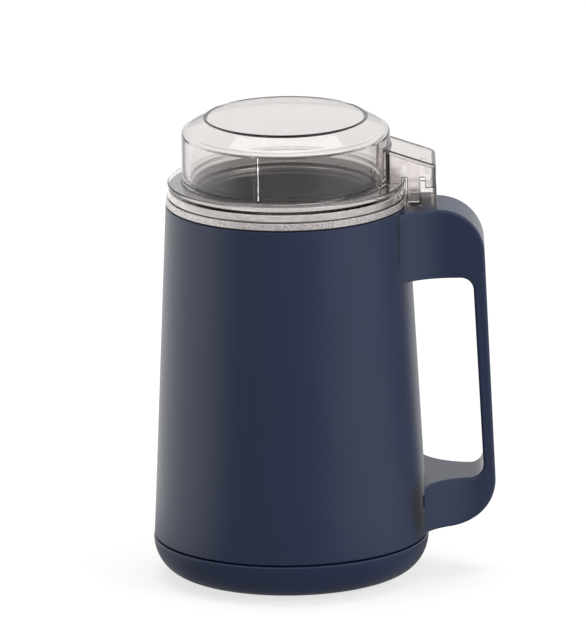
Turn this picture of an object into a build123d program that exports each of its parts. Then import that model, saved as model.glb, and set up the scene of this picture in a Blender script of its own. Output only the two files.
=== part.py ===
"""Electric blade coffee grinder: housing with a loop handle, clear press-to-run lid, bowl, blade and motor.

Millimetres, +Z up. The origin is on the axis of the round body, in the plane that the feet stand on.
The handle points along +X.
"""

import os
from math import cos, pi, radians, sin, sqrt

from build123d import *

os.makedirs("parts", exist_ok=True)

# Cuts and fits shared by all pieces
overrun = 1.0
fit_gap = 0.05
running_gap = 0.04
joint_gap = 0.15
quarter_turn = 90.0
downward = 270.0

# Housing, from the table up
foot_height = 1.5
base_height = 14.8
shell_height = 131.7
shell_seam_radius = 53.2
shell_top_radius = 47.0
shell_wall = 2.5

# Base cover
base_overhang = 0.3
base_round = 12.0
base_edge = 0.6
shell_edge = 0.4
base_wall = 2.4
seam_gap = 0.6
lip_height = 5.0
lip_wall = 2.0
lip_clearance = 0.3
post_radius = 4.0
post_setback = 7.0
vent_count = 12
vent_length = 14.0
vent_width = 3.0
vent_start_radius = 12.0

# Rubber feet and base screws
foot_count = 4
foot_first_angle = 45.0
foot_radius = 5.0
foot_setback = 8.5
foot_socket = 1.0
foot_chamfer = 0.4
base_screw_count = 3
base_screw_first_angle = 60.0
base_screw_head_radius = 3.0
base_screw_head_height = 2.2
base_screw_length = 18.0
base_screw_grip = 8.0
screw_slot = 0.8
screw_radius = 1.5
screw_tip_room = 3.0
boss_height = 14.0

# Shelf inside the shell, which carries the motor and the bowl
motor_room = 87.7
shelf_thickness = 3.0
shelf_ledge = 3.0
mount_count = 4
mount_first_angle = 45.0
mount_boss_height = 8.0
mount_boss_clearance = 0.6

# Cord inlet at the back
inlet_height = 14.0
inlet_pad_radius = 8.5
inlet_pad_height = 1.0
inlet_pad_depth = 1.2
gland_bore = 3.6
gland_neck_wall = 1.6
gland_flange = 2.2
gland_flange_thickness = 2.0
gland_collar = 1.2
gland_collar_thickness = 1.5

# Grinding bowl, gasket and shaft seal
bowl_setback = 11.7
bowl_wall = 0.8
bowl_corner = 9.0
bowl_corner_height = 13.6
rim_setback = 1.0
gasket_height = 1.5
gasket_width = 5.0
gasket_setback = 1.0
seal_radius = 6.0
seal_flange_radius = 9.0
seal_flange_thickness = 1.4
seal_neck = 2.0

# Steel collar
collar_height = 6.4
collar_band = 3.2
collar_groove_width = 0.5
collar_groove_depth = 0.5
collar_step = 0.8
collar_round = 0.8
collar_wall = 1.2
collar_ledge = 4.2

# Lid
lid_step = 1.4
lid_wall = 2.0
lid_gap = 1.35
lid_flange_inset = 0.8
lid_flange_thickness = 1.5
lid_shoulder_height = 20.2
lid_height = 25.4
lid_cone_run = 9.2
lid_top_step = 0.7
spigot_depth = 5.2
spigot_wall = 1.6
spigot_clearance = 0.4

# Snout on the lid, with two spring tongues that reach into the socket on the handle
snout_reach = 11.0
snout_half_width = 12.7
snout_wall = 1.8
snout_lift = 0.4
snout_skirt = 1.6
snout_root = 6.0
snout_near_height = 13.4
snout_far_height = 7.4
snout_corner = 3.0
snout_edge = 0.8
tongue_width = 4.9
tongue_offset = 0.2
tongue_slot = 2.0
tongue_slot_height = 2.6
tongue_foot_height = 3.4
tongue_foot_depth = 2.6

# Socket, plunger and switch
socket_reach = 11.2
socket_height = 6.2
socket_wall = 1.3
socket_near_half_width = 13.6
socket_far_half_width = 9.7
socket_corner = 2.0
socket_inset = 2.5
socket_gap = 0.3
notch_clearance = 0.3
notch_sill = 1.7
press_travel = 1.2
press_clearance = 0.2
contact_gap = 0.1
plunger_offset = 6.5
plunger_plate = 1.8
plunger_bar_half_width = 9.9
plunger_tail = 2.6
plunger_cheek = 1.0
plunger_bar_inset = 0.7
plunger_radius = 2.6
plunger_flange_radius = 5.0
plunger_flange_thickness = 1.4
plunger_tip_radius = 1.5
spring_height = 5.4
spring_radius = 3.2
spring_wire = 0.6
spring_turns = 4
spring_seat_gap = 0.1
gap_samples = 48
bracket_thickness = 1.0
bracket_half_width = 4.6
bracket_cheek = 1.2
bracket_hole_clearance = 0.6
bracket_ear_gap = 0.2
bracket_ear_offset = 8.0
bracket_screw_radius = 1.0
bracket_boss_radius = 2.2
bracket_screw_grip = 4.0
bracket_screw_head = 1.2
cheek_rise = 1.0
switch_length = 19.8
switch_height = 10.0
switch_half_width = 3.2
switch_lead_in = 4.0
switch_top_gap = 1.2
switch_pin_radius = 0.9
switch_pin_inset = 5.1
switch_pin_height = 3.0
button_radius = 1.1
button_depth = 3.0
terminal_length = 3.4
terminal_width = 3.2
terminal_thickness = 0.6
terminal_pitch = 7.0
terminal_inset = 2.5
terminal_count = 3

# Handle
handle_drop = 0.9
handle_foot = 4.3
handle_upper_height = 27.5
handle_lower_height = 19.0
handle_top_reach = 28.9
handle_bottom_reach = 27.1
strap_top = 5.3
strap_bottom = 4.3
handle_half_width = 12.2
handle_corner = 18.0
window_corner = 5.0
handle_edge = 1.1
handle_wall = 2.4
upper_flare_start = 16.0
upper_flare_radius = 26.0
upper_flare_run = 19.4
strap_flare_gap = 1.2
corner_flare_gap = 2.9
lower_flare_radius = 22.0
lower_flare_run = 20.4
upper_screw_half_pitch = 7.2
lower_screw_half_pitch = 4.4
handle_screw_head_radius = 2.8
handle_screw_head_height = 1.8
handle_screw_margin = 0.8
handle_screw_length = 10.0
handle_boss_radius = 2.4
handle_boss_length = 9.0
handle_pad = 1.6

# Motor frame, from the shelf down
isolator_height = 3.0
isolator_radius = 4.6
frame_plate = 3.0
frame_hub_radius = 9.0
frame_disc_radius = 22.0
frame_arm_width = 9.0
leg_width = 14.0
leg_thickness = 6.0
bush_radius = 5.0
bush_length = 10.0
bush_drop = 5.0
motor_screw_head_radius = 3.0
motor_screw_head_height = 2.0
motor_bolt_radius = 2.0
motor_bolt_head_radius = 3.6
motor_bolt_head_height = 2.4

# Rotor
shaft_radius = 3.0
shaft_tail = 1.5
fan_clearance = 1.0
fan_height = 7.0
fan_radius = 19.0
fan_disc = 1.2
fan_hub_radius = 6.0
fan_blade_count = 9
fan_blade_thickness = 1.0
winding_gap = 2.5
end_turn_height = 7.0
end_turn_wall = 6.0
end_turn_round = 2.0
stack_height = 24.0
core_radius = 14.7
slot_count = 12
slot_depth = 5.0
slot_width = 2.6
slot_liner = 0.2
slot_mouth = 1.0
air_gap = 0.6
commutator_gap = 1.0
commutator_length = 12.0
commutator_radius = 8.0
commutator_groove = 0.5
commutator_groove_depth = 0.8

# Stator and field coils
yoke_half_length = 29.0
yoke_half_depth = 30.0
yoke_side = 9.5
yoke_end = 6.5
yoke_corner = 8.0
pole_width = 16.0
shoe_width = 26.0
shoe_radius = 18.4
coil_gap = 0.3
coil_width = 5.0

# Brush gear
brush_half_width = 2.5
brush_half_height = 3.0
brush_length = 11.0
brush_gap = 0.3
brush_tube_wall = 0.8
brush_tube_start = 2.0
brush_tube_length = 16.0
brush_cap = 1.0
brush_spring_radius = 2.0
brush_spring_wire = 0.5
brush_spring_turns = 4
tower_depth = 8.0
tower_offset = 5.0
tower_margin = 2.6

# Blade
blade_lift = 6.0
spacer_radius = 6.0
blade_tip_gap = 5.8
blade_thickness = 1.2
blade_width = 11.0
blade_hub_radius = 8.0
blade_pitch = 14.0
blade_tip_share = 0.1
blade_relief = 0.3
nut_sides = 6
nut_radius = 5.2
nut_height = 5.5
nut_cap = 1.2
nut_chamfer = 0.6

# Suppressor capacitor on the base floor
capacitor_length = 18.0
capacitor_width = 8.0
capacitor_height = 14.0
capacitor_setback = 15.2
capacitor_edge = 0.8

# Leads from the switch
lead_radius = 0.9
lead_y = 4.0
lead_bend = 2.0
lead_loop = 3.0
lead_hole_width = 12.0
lead_hole_height = 4.0

# Heights
base_z = foot_height
seam_z = base_z + base_height
base_top_z = seam_z - seam_gap
base_floor_z = base_z + base_wall
lip_top_z = seam_z + lip_height
shell_top_z = seam_z + shell_height
shelf_bottom_z = seam_z + motor_room
shelf_top_z = shelf_bottom_z + shelf_thickness
bowl_bottom_z = shelf_top_z + gasket_height
bowl_floor_z = bowl_bottom_z + bowl_wall
rim_top_z = shell_top_z + bowl_wall
collar_top_z = shell_top_z + collar_height
flange_z = collar_top_z + lid_gap
flange_top_z = flange_z + lid_flange_thickness
lid_shoulder_z = flange_top_z + lid_shoulder_height
lid_top_z = flange_top_z + lid_height
handle_top_z = shell_top_z - handle_drop
handle_bottom_z = seam_z + handle_foot
upper_bracket_z = handle_top_z - handle_upper_height
lower_bracket_z = handle_bottom_z + handle_lower_height
frame_top_z = shelf_bottom_z - isolator_height
frame_z = frame_top_z - frame_plate
upper_bush_z = frame_z - bush_drop
fan_top_z = upper_bush_z - fan_clearance
fan_z = fan_top_z - fan_height
stack_top_z = fan_z - winding_gap - end_turn_height
stack_z = stack_top_z - stack_height
commutator_top_z = stack_z - end_turn_height - commutator_gap
commutator_z = commutator_top_z - commutator_length
lower_bush_top_z = commutator_z - fan_clearance
lower_bush_z = lower_bush_top_z - bush_length
lower_plate_z = lower_bush_z + (bush_length - frame_plate) / 2
lower_plate_top_z = lower_plate_z + frame_plate
shaft_z = lower_bush_z - shaft_tail
brush_z = commutator_z + commutator_length / 2
spacer_z = bowl_floor_z + seal_flange_thickness + running_gap
blade_z = bowl_floor_z + blade_lift
blade_top_z = blade_z + blade_thickness
nut_top_z = blade_top_z + nut_height
shaft_top_z = nut_top_z - nut_cap
base_screw_seat_z = lip_top_z - base_screw_grip
snout_z = flange_top_z + snout_lift
skirt_z = snout_z - snout_skirt
bar_z = handle_top_z + press_travel + press_clearance
bar_top_z = bar_z + plunger_plate
tongue_bottom_z = bar_top_z + contact_gap
stem_flange_top_z = handle_top_z - handle_wall - contact_gap
stem_flange_z = stem_flange_top_z - plunger_flange_thickness
bracket_top_z = stem_flange_z - spring_height
bracket_z = bracket_top_z - bracket_thickness
switch_top_z = bracket_z - switch_top_gap
switch_z = switch_top_z - switch_height
cheek_z = switch_z + cheek_rise
tip_z = switch_top_z + press_travel + press_clearance
button_top_z = tip_z - contact_gap
lead_z = switch_z - terminal_length / 2
upper_screw_z = (upper_bracket_z + handle_top_z) / 2
lower_screw_z = (handle_bottom_z + lower_bracket_z) / 2

# Radii
base_radius = shell_seam_radius + base_overhang
base_flat_radius = base_radius - base_round
foot_circle = base_flat_radius - foot_setback
vent_circle = vent_start_radius + vent_length / 2
cavity_radius = shell_top_radius - shell_wall
bowl_radius = shell_top_radius - bowl_setback
bowl_outer_radius = bowl_radius + bowl_wall
bowl_flat_radius = bowl_radius - bowl_corner
blade_radius = bowl_radius - blade_tip_gap
rim_radius = shell_top_radius - rim_setback
gasket_outer_radius = bowl_flat_radius - gasket_setback
gasket_inner_radius = gasket_outer_radius - gasket_width
shelf_bore_radius = gasket_inner_radius - shelf_ledge
mount_circle = (bowl_outer_radius + cavity_radius) / 2
mount_boss_radius = (cavity_radius - bowl_outer_radius) / 2 - mount_boss_clearance
collar_bore_radius = bowl_radius + collar_ledge
spigot_radius = collar_bore_radius - spigot_clearance
lid_radius = spigot_radius + lid_step
lid_top_radius = lid_radius - lid_cone_run
lid_flange_radius = shell_top_radius - lid_flange_inset
screw_hole_radius = screw_radius + fit_gap
shaft_hole_radius = shaft_radius + running_gap
stator_bore_radius = core_radius + air_gap
winding_radius = core_radius - slot_mouth
leg_x = yoke_half_length - yoke_side / 2
tube_half_width = brush_half_width + fit_gap + brush_tube_wall
tube_half_height = brush_half_height + fit_gap + brush_tube_wall
tube_near_y = commutator_radius + brush_tube_start


def shell_radius(z):
    """Outer radius of the tapered shell at height z."""
    return shell_seam_radius + (shell_top_radius - shell_seam_radius) * (z - seam_z) / shell_height


# Stations along the handle's reach
plunger_x = shell_top_radius + plunger_offset
socket_end_x = shell_top_radius + socket_reach
snout_end_x = shell_top_radius + snout_reach
handle_top_x = shell_top_radius + handle_top_reach
handle_bottom_x = shell_seam_radius + handle_bottom_reach
handle_height = handle_top_z - handle_bottom_z
handle_mid_z = (upper_bracket_z + lower_bracket_z) / 2
tongue_x = shell_top_radius - tongue_offset
tongue_end_x = tongue_x + tongue_width
skirt_x = tongue_x - tongue_slot
lip_radius = shell_radius(lip_top_z) - shell_wall - lip_clearance
lip_inner_radius = lip_radius - lip_wall
post_circle = lip_inner_radius - post_setback
capacitor_offset = lip_inner_radius - capacitor_setback
inlet_z = seam_z + inlet_height
snout_root_x = lid_radius - snout_root
socket_near_x = shell_top_radius - socket_inset
bar_x = shell_top_radius + plunger_bar_inset
switch_x = plunger_x - switch_lead_in
bracket_screw_x = plunger_x + bracket_ear_offset
bracket_screw_y = bracket_half_width + bracket_boss_radius + bracket_ear_gap
switch_pin_places = [
    (switch_x + switch_pin_inset, switch_z + switch_pin_height),
    (switch_x + switch_length - switch_pin_inset, switch_z + switch_pin_height),
]
terminal_places = [switch_x + terminal_inset + i * terminal_pitch for i in range(terminal_count)]
handle_screw_places = [
    (side * half_pitch, screw_z, inner_radius - handle_pad)
    for half_pitch, screw_z, inner_radius in (
        (upper_screw_half_pitch, upper_screw_z, cavity_radius),
        (lower_screw_half_pitch, lower_screw_z, shell_radius(lower_screw_z) - shell_wall),
    )
    for side in (-1, 1)
]

with BuildPart() as body_shell:
    with BuildSketch(Plane.XZ):
        with BuildLine():
            Polyline(
                (shell_seam_radius, seam_z),
                (shell_top_radius, shell_top_z),
                (cavity_radius, shell_top_z),
                (cavity_radius, shelf_top_z),
                (shelf_bore_radius, shelf_top_z),
                (shelf_bore_radius, shelf_bottom_z),
                (shell_radius(shelf_bottom_z) - shell_wall, shelf_bottom_z),
                (shell_seam_radius - shell_wall, seam_z),
                close=True,
            )
        make_face()
    revolve(axis=Axis.Z)
    shell_rings = body_shell.edges().filter_by(GeomType.CIRCLE).group_by(Axis.Z)
    outer_rims = [shell_rings[end].sort_by(SortBy.RADIUS)[-1] for end in (0, -1)]
    fillet(outer_rims, shell_edge)
    # Bosses on the shelf take the motor screws
    with BuildSketch(Plane.XY.offset(shelf_top_z)):
        with PolarLocations(mount_circle, mount_count, mount_first_angle):
            Circle(mount_boss_radius)
    extrude(amount=mount_boss_height)
    with BuildSketch(Plane.XY.offset(shelf_bottom_z)):
        with PolarLocations(mount_circle, mount_count, mount_first_angle):
            Circle(screw_hole_radius)
    extrude(amount=shelf_thickness + mount_boss_height, mode=Mode.SUBTRACT)
    # Ribbed bosses inside the skirt take the base screws
    rib_end = shell_radius(lip_top_z + boss_height) - shell_wall / 2
    with BuildSketch(Plane.XY.offset(lip_top_z)):
        with PolarLocations(post_circle, base_screw_count, base_screw_first_angle):
            Circle(post_radius)
        with PolarLocations((post_circle + rib_end) / 2, base_screw_count, base_screw_first_angle):
            Rectangle(rib_end - post_circle, post_radius)
    extrude(amount=boss_height)
    with BuildSketch(Plane.XY.offset(lip_top_z)):
        with PolarLocations(post_circle, base_screw_count, base_screw_first_angle):
            Circle(screw_hole_radius)
    extrude(amount=boss_height - screw_tip_room, mode=Mode.SUBTRACT)
    # A round pad at the back gives the cord gland two flat seats
    inlet_inner_y = shell_radius(inlet_z) - shell_wall - inlet_pad_depth
    inlet_outer_y = shell_radius(inlet_z) + inlet_pad_height
    inlet_plane = Plane((0, inlet_inner_y, inlet_z), x_dir=(1, 0, 0), z_dir=(0, 1, 0))
    with BuildSketch(inlet_plane):
        Circle(inlet_pad_radius)
    extrude(amount=inlet_outer_y - inlet_inner_y)
    with BuildSketch(inlet_plane):
        Circle(gland_bore + gland_neck_wall + fit_gap)
    extrude(amount=inlet_outer_y - inlet_inner_y, mode=Mode.SUBTRACT)
    # Flat pads inside and through holes take the handle screws
    for side_y, screw_z, seat_x in handle_screw_places:
        inner_x = seat_x + handle_pad
        with BuildSketch(Plane.YZ.offset(seat_x)):
            with Locations((side_y, screw_z)):
                Circle(handle_screw_head_radius + handle_screw_margin)
        extrude(amount=inner_x - seat_x)
        with BuildSketch(Plane.YZ.offset(seat_x)):
            with Locations((side_y, screw_z)):
                Circle(screw_hole_radius)
        extrude(amount=shell_radius(screw_z) - seat_x + overrun, mode=Mode.SUBTRACT)
    # One hole into the handle and one through the shelf let the switch leads pass
    with BuildSketch(Plane.YZ.offset(bowl_outer_radius)):
        with Locations((0, lead_z)):
            SlotOverall(lead_hole_width, lead_hole_height)
    extrude(amount=shell_radius(lead_z) - bowl_outer_radius + overrun, mode=Mode.SUBTRACT)
    with BuildSketch(Plane.XY.offset(shelf_bottom_z - overrun)):
        with Locations((mount_circle, 0)):
            SlotOverall(lead_hole_width, lead_hole_height, rotation=quarter_turn)
    extrude(amount=shelf_thickness + 2 * overrun, mode=Mode.SUBTRACT)
body_shell.part.label = "body_shell"
export_step(body_shell.part, "parts/body_shell.step")

with BuildPart() as base_cover:
    with BuildSketch(Plane.XZ):
        with BuildLine():
            Line((0, base_floor_z), (0, base_z))
            Line((0, base_z), (base_flat_radius, base_z))
            EllipticalCenterArc(
                (base_flat_radius, base_top_z),
                base_round,
                base_top_z - base_z,
                start_angle=downward,
            )
            Polyline(
                (base_radius, base_top_z),
                (lip_radius, base_top_z),
                (lip_radius, lip_top_z),
                (lip_inner_radius, lip_top_z),
                (lip_inner_radius, base_top_z),
            )
            EllipticalCenterArc(
                (base_flat_radius, base_top_z),
                lip_inner_radius - base_flat_radius,
                base_top_z - base_floor_z,
                start_angle=downward,
            )
            Line((base_flat_radius, base_floor_z), (0, base_floor_z))
        make_face()
    revolve(axis=Axis.Z)
    fillet(base_cover.edges().filter_by(GeomType.CIRCLE).sort_by(SortBy.RADIUS)[-1], base_edge)
    with BuildSketch(Plane.XY.offset(base_floor_z)):
        with PolarLocations(post_circle, base_screw_count, base_screw_first_angle):
            Circle(post_radius)
    extrude(amount=lip_top_z - base_floor_z)
    with BuildSketch(Plane.XY.offset(base_z)):
        with PolarLocations(post_circle, base_screw_count, base_screw_first_angle):
            Circle(screw_hole_radius)
    extrude(amount=lip_top_z - base_z, mode=Mode.SUBTRACT)
    with BuildSketch(Plane.XY.offset(base_z)):
        with PolarLocations(post_circle, base_screw_count, base_screw_first_angle):
            Circle(base_screw_head_radius + fit_gap)
    extrude(amount=base_screw_seat_z - base_z, mode=Mode.SUBTRACT)
    with BuildSketch(Plane.XY.offset(base_z)):
        with PolarLocations(foot_circle, foot_count, foot_first_angle):
            Circle(foot_radius)
    extrude(amount=foot_socket, mode=Mode.SUBTRACT)
    with BuildSketch(Plane.XY.offset(base_z)):
        with PolarLocations(vent_circle, vent_count):
            SlotOverall(vent_length, vent_width)
    extrude(amount=base_wall, mode=Mode.SUBTRACT)
base_cover.part.label = "base_cover"
export_step(base_cover.part, "parts/base_cover.step")

with BuildPart() as rubber_feet:
    with BuildSketch(Plane.XY):
        with PolarLocations(foot_circle, foot_count, foot_first_angle):
            Circle(foot_radius - fit_gap)
    extrude(amount=base_z + foot_socket)
    chamfer(rubber_feet.edges().group_by(Axis.Z)[0], foot_chamfer)
rubber_feet.part.label = "rubber_feet"
export_step(rubber_feet.part, "parts/rubber_feet.step")

with BuildPart() as base_screws:
    with BuildSketch(Plane.XY.offset(base_screw_seat_z - base_screw_head_height)):
        with PolarLocations(post_circle, base_screw_count, base_screw_first_angle):
            Circle(base_screw_head_radius)
    extrude(amount=base_screw_head_height)
    with BuildSketch(Plane.XY.offset(base_screw_seat_z)):
        with PolarLocations(post_circle, base_screw_count, base_screw_first_angle):
            Circle(screw_radius)
    extrude(amount=base_screw_length)
    with BuildSketch(Plane.XY.offset(base_screw_seat_z - base_screw_head_height)):
        with PolarLocations(post_circle, base_screw_count, base_screw_first_angle):
            Rectangle(base_screw_head_radius, screw_slot)
            Rectangle(screw_slot, base_screw_head_radius)
    extrude(amount=screw_slot, mode=Mode.SUBTRACT)
base_screws.part.label = "base_screws"
export_step(base_screws.part, "parts/base_screws.step")

with BuildPart() as cord_gland:
    gland_neck_radius = gland_bore + gland_neck_wall
    with BuildSketch(inlet_plane):
        Circle(gland_neck_radius)
    extrude(amount=inlet_outer_y - inlet_inner_y)
    with BuildSketch(inlet_plane):
        Circle(gland_neck_radius + gland_collar)
    extrude(amount=-gland_collar_thickness)
    with BuildSketch(inlet_plane.offset(inlet_outer_y - inlet_inner_y)):
        Circle(gland_neck_radius + gland_flange)
    extrude(amount=gland_flange_thickness)
    with BuildSketch(inlet_plane.offset(-gland_collar_thickness)):
        Circle(gland_bore)
    extrude(
        amount=inlet_outer_y - inlet_inner_y + gland_collar_thickness + gland_flange_thickness,
        mode=Mode.SUBTRACT,
    )
cord_gland.part.label = "cord_gland"
export_step(cord_gland.part, "parts/cord_gland.step")

with BuildPart() as bowl_gasket:
    with BuildSketch(Plane.XY.offset(shelf_top_z)):
        Circle(gasket_outer_radius)
        Circle(gasket_inner_radius, mode=Mode.SUBTRACT)
    extrude(amount=gasket_height)
bowl_gasket.part.label = "bowl_gasket"
export_step(bowl_gasket.part, "parts/bowl_gasket.step")

with BuildPart() as grinding_bowl:
    corner_z = bowl_floor_z + bowl_corner_height
    with BuildSketch(Plane.XZ):
        with BuildLine():
            Line((bowl_radius, rim_top_z), (bowl_radius, corner_z))
            EllipticalCenterArc(
                (bowl_flat_radius, corner_z),
                bowl_corner,
                bowl_corner_height,
                start_angle=downward,
            )
            Polyline(
                (bowl_flat_radius, bowl_floor_z),
                (seal_radius, bowl_floor_z),
                (seal_radius, bowl_bottom_z),
                (bowl_flat_radius, bowl_bottom_z),
            )
            EllipticalCenterArc(
                (bowl_flat_radius, corner_z),
                bowl_corner + bowl_wall,
                bowl_corner_height + bowl_wall,
                start_angle=downward,
            )
            Polyline(
                (bowl_outer_radius, corner_z),
                (bowl_outer_radius, shell_top_z),
                (rim_radius, shell_top_z),
                (rim_radius, rim_top_z),
                (bowl_radius, rim_top_z),
            )
        make_face()
    revolve(axis=Axis.Z)
grinding_bowl.part.label = "grinding_bowl"
export_step(grinding_bowl.part, "parts/grinding_bowl.step")

with BuildPart() as shaft_seal:
    with BuildSketch(Plane.XY.offset(bowl_floor_z)):
        Circle(seal_flange_radius)
    extrude(amount=seal_flange_thickness)
    with BuildSketch(Plane.XY.offset(bowl_floor_z)):
        Circle(seal_radius - fit_gap)
    extrude(amount=-(bowl_wall + seal_neck))
    with BuildSketch(Plane.XY.offset(bowl_bottom_z - seal_neck)):
        Circle(shaft_hole_radius)
    extrude(amount=bowl_wall + seal_neck + seal_flange_thickness, mode=Mode.SUBTRACT)
shaft_seal.part.label = "shaft_seal"
export_step(shaft_seal.part, "parts/shaft_seal.step")

with BuildPart() as steel_collar:
    band_top_z = shell_top_z + collar_band
    groove_top_z = band_top_z + collar_groove_width
    upper_radius = shell_top_radius - collar_step
    groove_radius = upper_radius - collar_groove_depth
    channel_radius = groove_radius - collar_wall
    round_z = collar_top_z - collar_round
    round_radius = upper_radius - collar_round
    with BuildSketch(Plane.XZ):
        with BuildLine():
            Polyline(
                (shell_top_radius, shell_top_z),
                (shell_top_radius, band_top_z),
                (groove_radius, band_top_z),
                (groove_radius, groove_top_z),
                (upper_radius, groove_top_z),
                (upper_radius, round_z),
            )
            CenterArc((round_radius, round_z), collar_round, 0, quarter_turn)
            Polyline(
                (round_radius, collar_top_z),
                (collar_bore_radius, collar_top_z),
                (collar_bore_radius, rim_top_z),
                (collar_bore_radius + collar_wall, rim_top_z),
                (collar_bore_radius + collar_wall, collar_top_z - collar_wall),
                (channel_radius, collar_top_z - collar_wall),
                (channel_radius, rim_top_z),
                (rim_radius + fit_gap, rim_top_z),
                (rim_radius + fit_gap, shell_top_z),
                (shell_top_radius, shell_top_z),
            )
        make_face()
    revolve(axis=Axis.Z)
steel_collar.part.label = "steel_collar"
export_step(steel_collar.part, "parts/steel_collar.step")

with BuildPart() as lid_dome:
    lid_inner_radius = lid_radius - lid_wall
    cone_z = lid_top_z - lid_top_step
    with BuildSketch(Plane.XZ):
        with BuildLine():
            Polyline(
                (spigot_radius - spigot_wall, flange_z - spigot_depth),
                (spigot_radius, flange_z - spigot_depth),
                (spigot_radius, flange_z),
                (lid_flange_radius, flange_z),
                (lid_flange_radius, flange_top_z),
                (lid_radius, flange_top_z),
                (lid_radius, lid_shoulder_z),
                (lid_top_radius, cone_z),
                (lid_top_radius, lid_top_z),
                (0, lid_top_z),
                (0, lid_top_z - lid_wall),
                (lid_top_radius - lid_top_step, lid_top_z - lid_wall),
                (lid_top_radius - lid_top_step, cone_z - lid_wall),
                (lid_inner_radius, lid_shoulder_z - lid_top_step),
                (lid_inner_radius, flange_top_z),
                (spigot_radius - spigot_wall, flange_z),
                close=True,
            )
        make_face()
    revolve(axis=Axis.Z)
lid_dome.part.label = "lid_dome"
export_step(lid_dome.part, "parts/lid_dome.step")


def snout_top(x, drop):
    """Height of the snout's sloping top at x, less a drop."""
    slope = (snout_far_height - snout_near_height) / (snout_end_x - lid_radius)
    return snout_z + snout_near_height + slope * (x - lid_radius) - drop


with BuildPart() as lid_snout:
    with BuildSketch(Plane.XZ):
        Polygon(
            (snout_root_x, snout_z),
            (skirt_x, snout_z),
            (skirt_x, skirt_z),
            (snout_end_x, skirt_z),
            (snout_end_x, snout_top(snout_end_x, 0)),
            (snout_root_x, snout_top(snout_root_x, 0)),
            align=None,
        )
    extrude(amount=snout_half_width, both=True)
    fillet(lid_snout.edges().filter_by(Axis.Z).group_by(Axis.X)[-1], snout_corner)
    fillet(lid_snout.faces().sort_by(Axis.Z)[-1].edges(), snout_edge)
    inner_end_x = snout_end_x - snout_wall
    with BuildSketch(Plane.XZ):
        Polygon(
            (snout_root_x, skirt_z),
            (inner_end_x, skirt_z),
            (inner_end_x, snout_top(inner_end_x, snout_wall)),
            (snout_root_x, snout_top(snout_root_x, snout_wall)),
            align=None,
        )
    extrude(amount=snout_half_width - snout_wall, both=True, mode=Mode.SUBTRACT)
    # Two tongues hang from the side walls, each freed by a slot on either side, and end in a thick foot
    with BuildSketch(Plane.XZ):
        for slot_x in (tongue_x - tongue_slot, tongue_end_x):
            with Locations((slot_x, skirt_z)):
                Rectangle(tongue_slot, snout_skirt + tongue_slot_height, align=(Align.MIN, Align.MIN))
    extrude(amount=snout_half_width, both=True, mode=Mode.SUBTRACT)
    for side in (-1, 1):
        tongue_y = side * (snout_half_width - snout_wall)
        with BuildSketch(Plane.XY.offset(snout_z)):
            with Locations((tongue_x + tongue_width / 2, tongue_y + side * snout_wall / 2)):
                Rectangle(tongue_width, snout_wall)
        extrude(amount=tongue_bottom_z - snout_z)
        with BuildSketch(Plane.XY.offset(tongue_bottom_z)):
            with Locations((tongue_x + tongue_width / 2, tongue_y - side * tongue_foot_depth / 2)):
                Rectangle(tongue_width, tongue_foot_depth)
        extrude(amount=tongue_foot_height)
    with BuildSketch(Plane.XY.offset(tongue_bottom_z)):
        Circle(lid_radius + fit_gap)
    extrude(amount=lid_top_z - tongue_bottom_z, mode=Mode.SUBTRACT)
lid_snout.part.label = "lid_snout"
export_step(lid_snout.part, "parts/lid_snout.step")

with BuildPart() as switch_socket:
    with BuildSketch(Plane.XY.offset(handle_top_z)) as socket_plan:
        Polygon(
            (socket_near_x, -socket_near_half_width),
            (socket_end_x, -socket_far_half_width),
            (socket_end_x, socket_far_half_width),
            (socket_near_x, socket_near_half_width),
            align=None,
        )
        fillet(socket_plan.vertices().group_by(Axis.X)[-1], socket_corner)
    extrude(amount=socket_height)
    with BuildSketch(Plane.XY.offset(handle_top_z)):
        Polygon(
            (socket_near_x, -socket_near_half_width + socket_wall),
            (socket_end_x - socket_wall, -socket_far_half_width + socket_wall),
            (socket_end_x - socket_wall, socket_far_half_width - socket_wall),
            (socket_near_x, socket_near_half_width - socket_wall),
            align=None,
        )
    extrude(amount=socket_height, mode=Mode.SUBTRACT)
    with BuildSketch(Plane.XY.offset(handle_top_z)):
        Circle(shell_top_radius + socket_gap)
    extrude(amount=socket_height, mode=Mode.SUBTRACT)
    # Notches let the tongues of the lid down between the side walls
    with BuildSketch(Plane.XZ):
        with Locations((tongue_x - notch_clearance, handle_top_z + notch_sill)):
            Rectangle(tongue_width + 2 * notch_clearance, socket_height, align=(Align.MIN, Align.MIN))
    extrude(amount=socket_near_half_width, both=True, mode=Mode.SUBTRACT)
switch_socket.part.label = "switch_socket"
export_step(switch_socket.part, "parts/switch_socket.step")


def handle_outer_x(z):
    """Outer face of the handle at height z."""
    return handle_top_x + (handle_bottom_x - handle_top_x) * (handle_top_z - z) / handle_height


def handle_inner_x(z):
    """Inner face of the strap at height z."""
    strap = strap_top + (strap_bottom - strap_top) * (handle_top_z - z) / handle_height
    return handle_outer_x(z) - strap


def flare_lines(flare_start_x, flare_radius, flare_run):
    """Plan of the handle: straight sides that swing out in an arc to a flat end at the body."""
    outer_x = handle_bottom_x + overrun
    end_x = flare_start_x - flare_run
    end_y = handle_half_width + flare_radius - sqrt(flare_radius**2 - flare_run**2)
    Line((outer_x, -handle_half_width), (outer_x, handle_half_width))
    Line((end_x, -end_y), (end_x, end_y))
    for side in (-1, 1):
        start = (flare_start_x, side * handle_half_width)
        Line((outer_x, side * handle_half_width), start)
        TangentArc(start, (end_x, side * end_y), tangent=(-1, 0))


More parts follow.
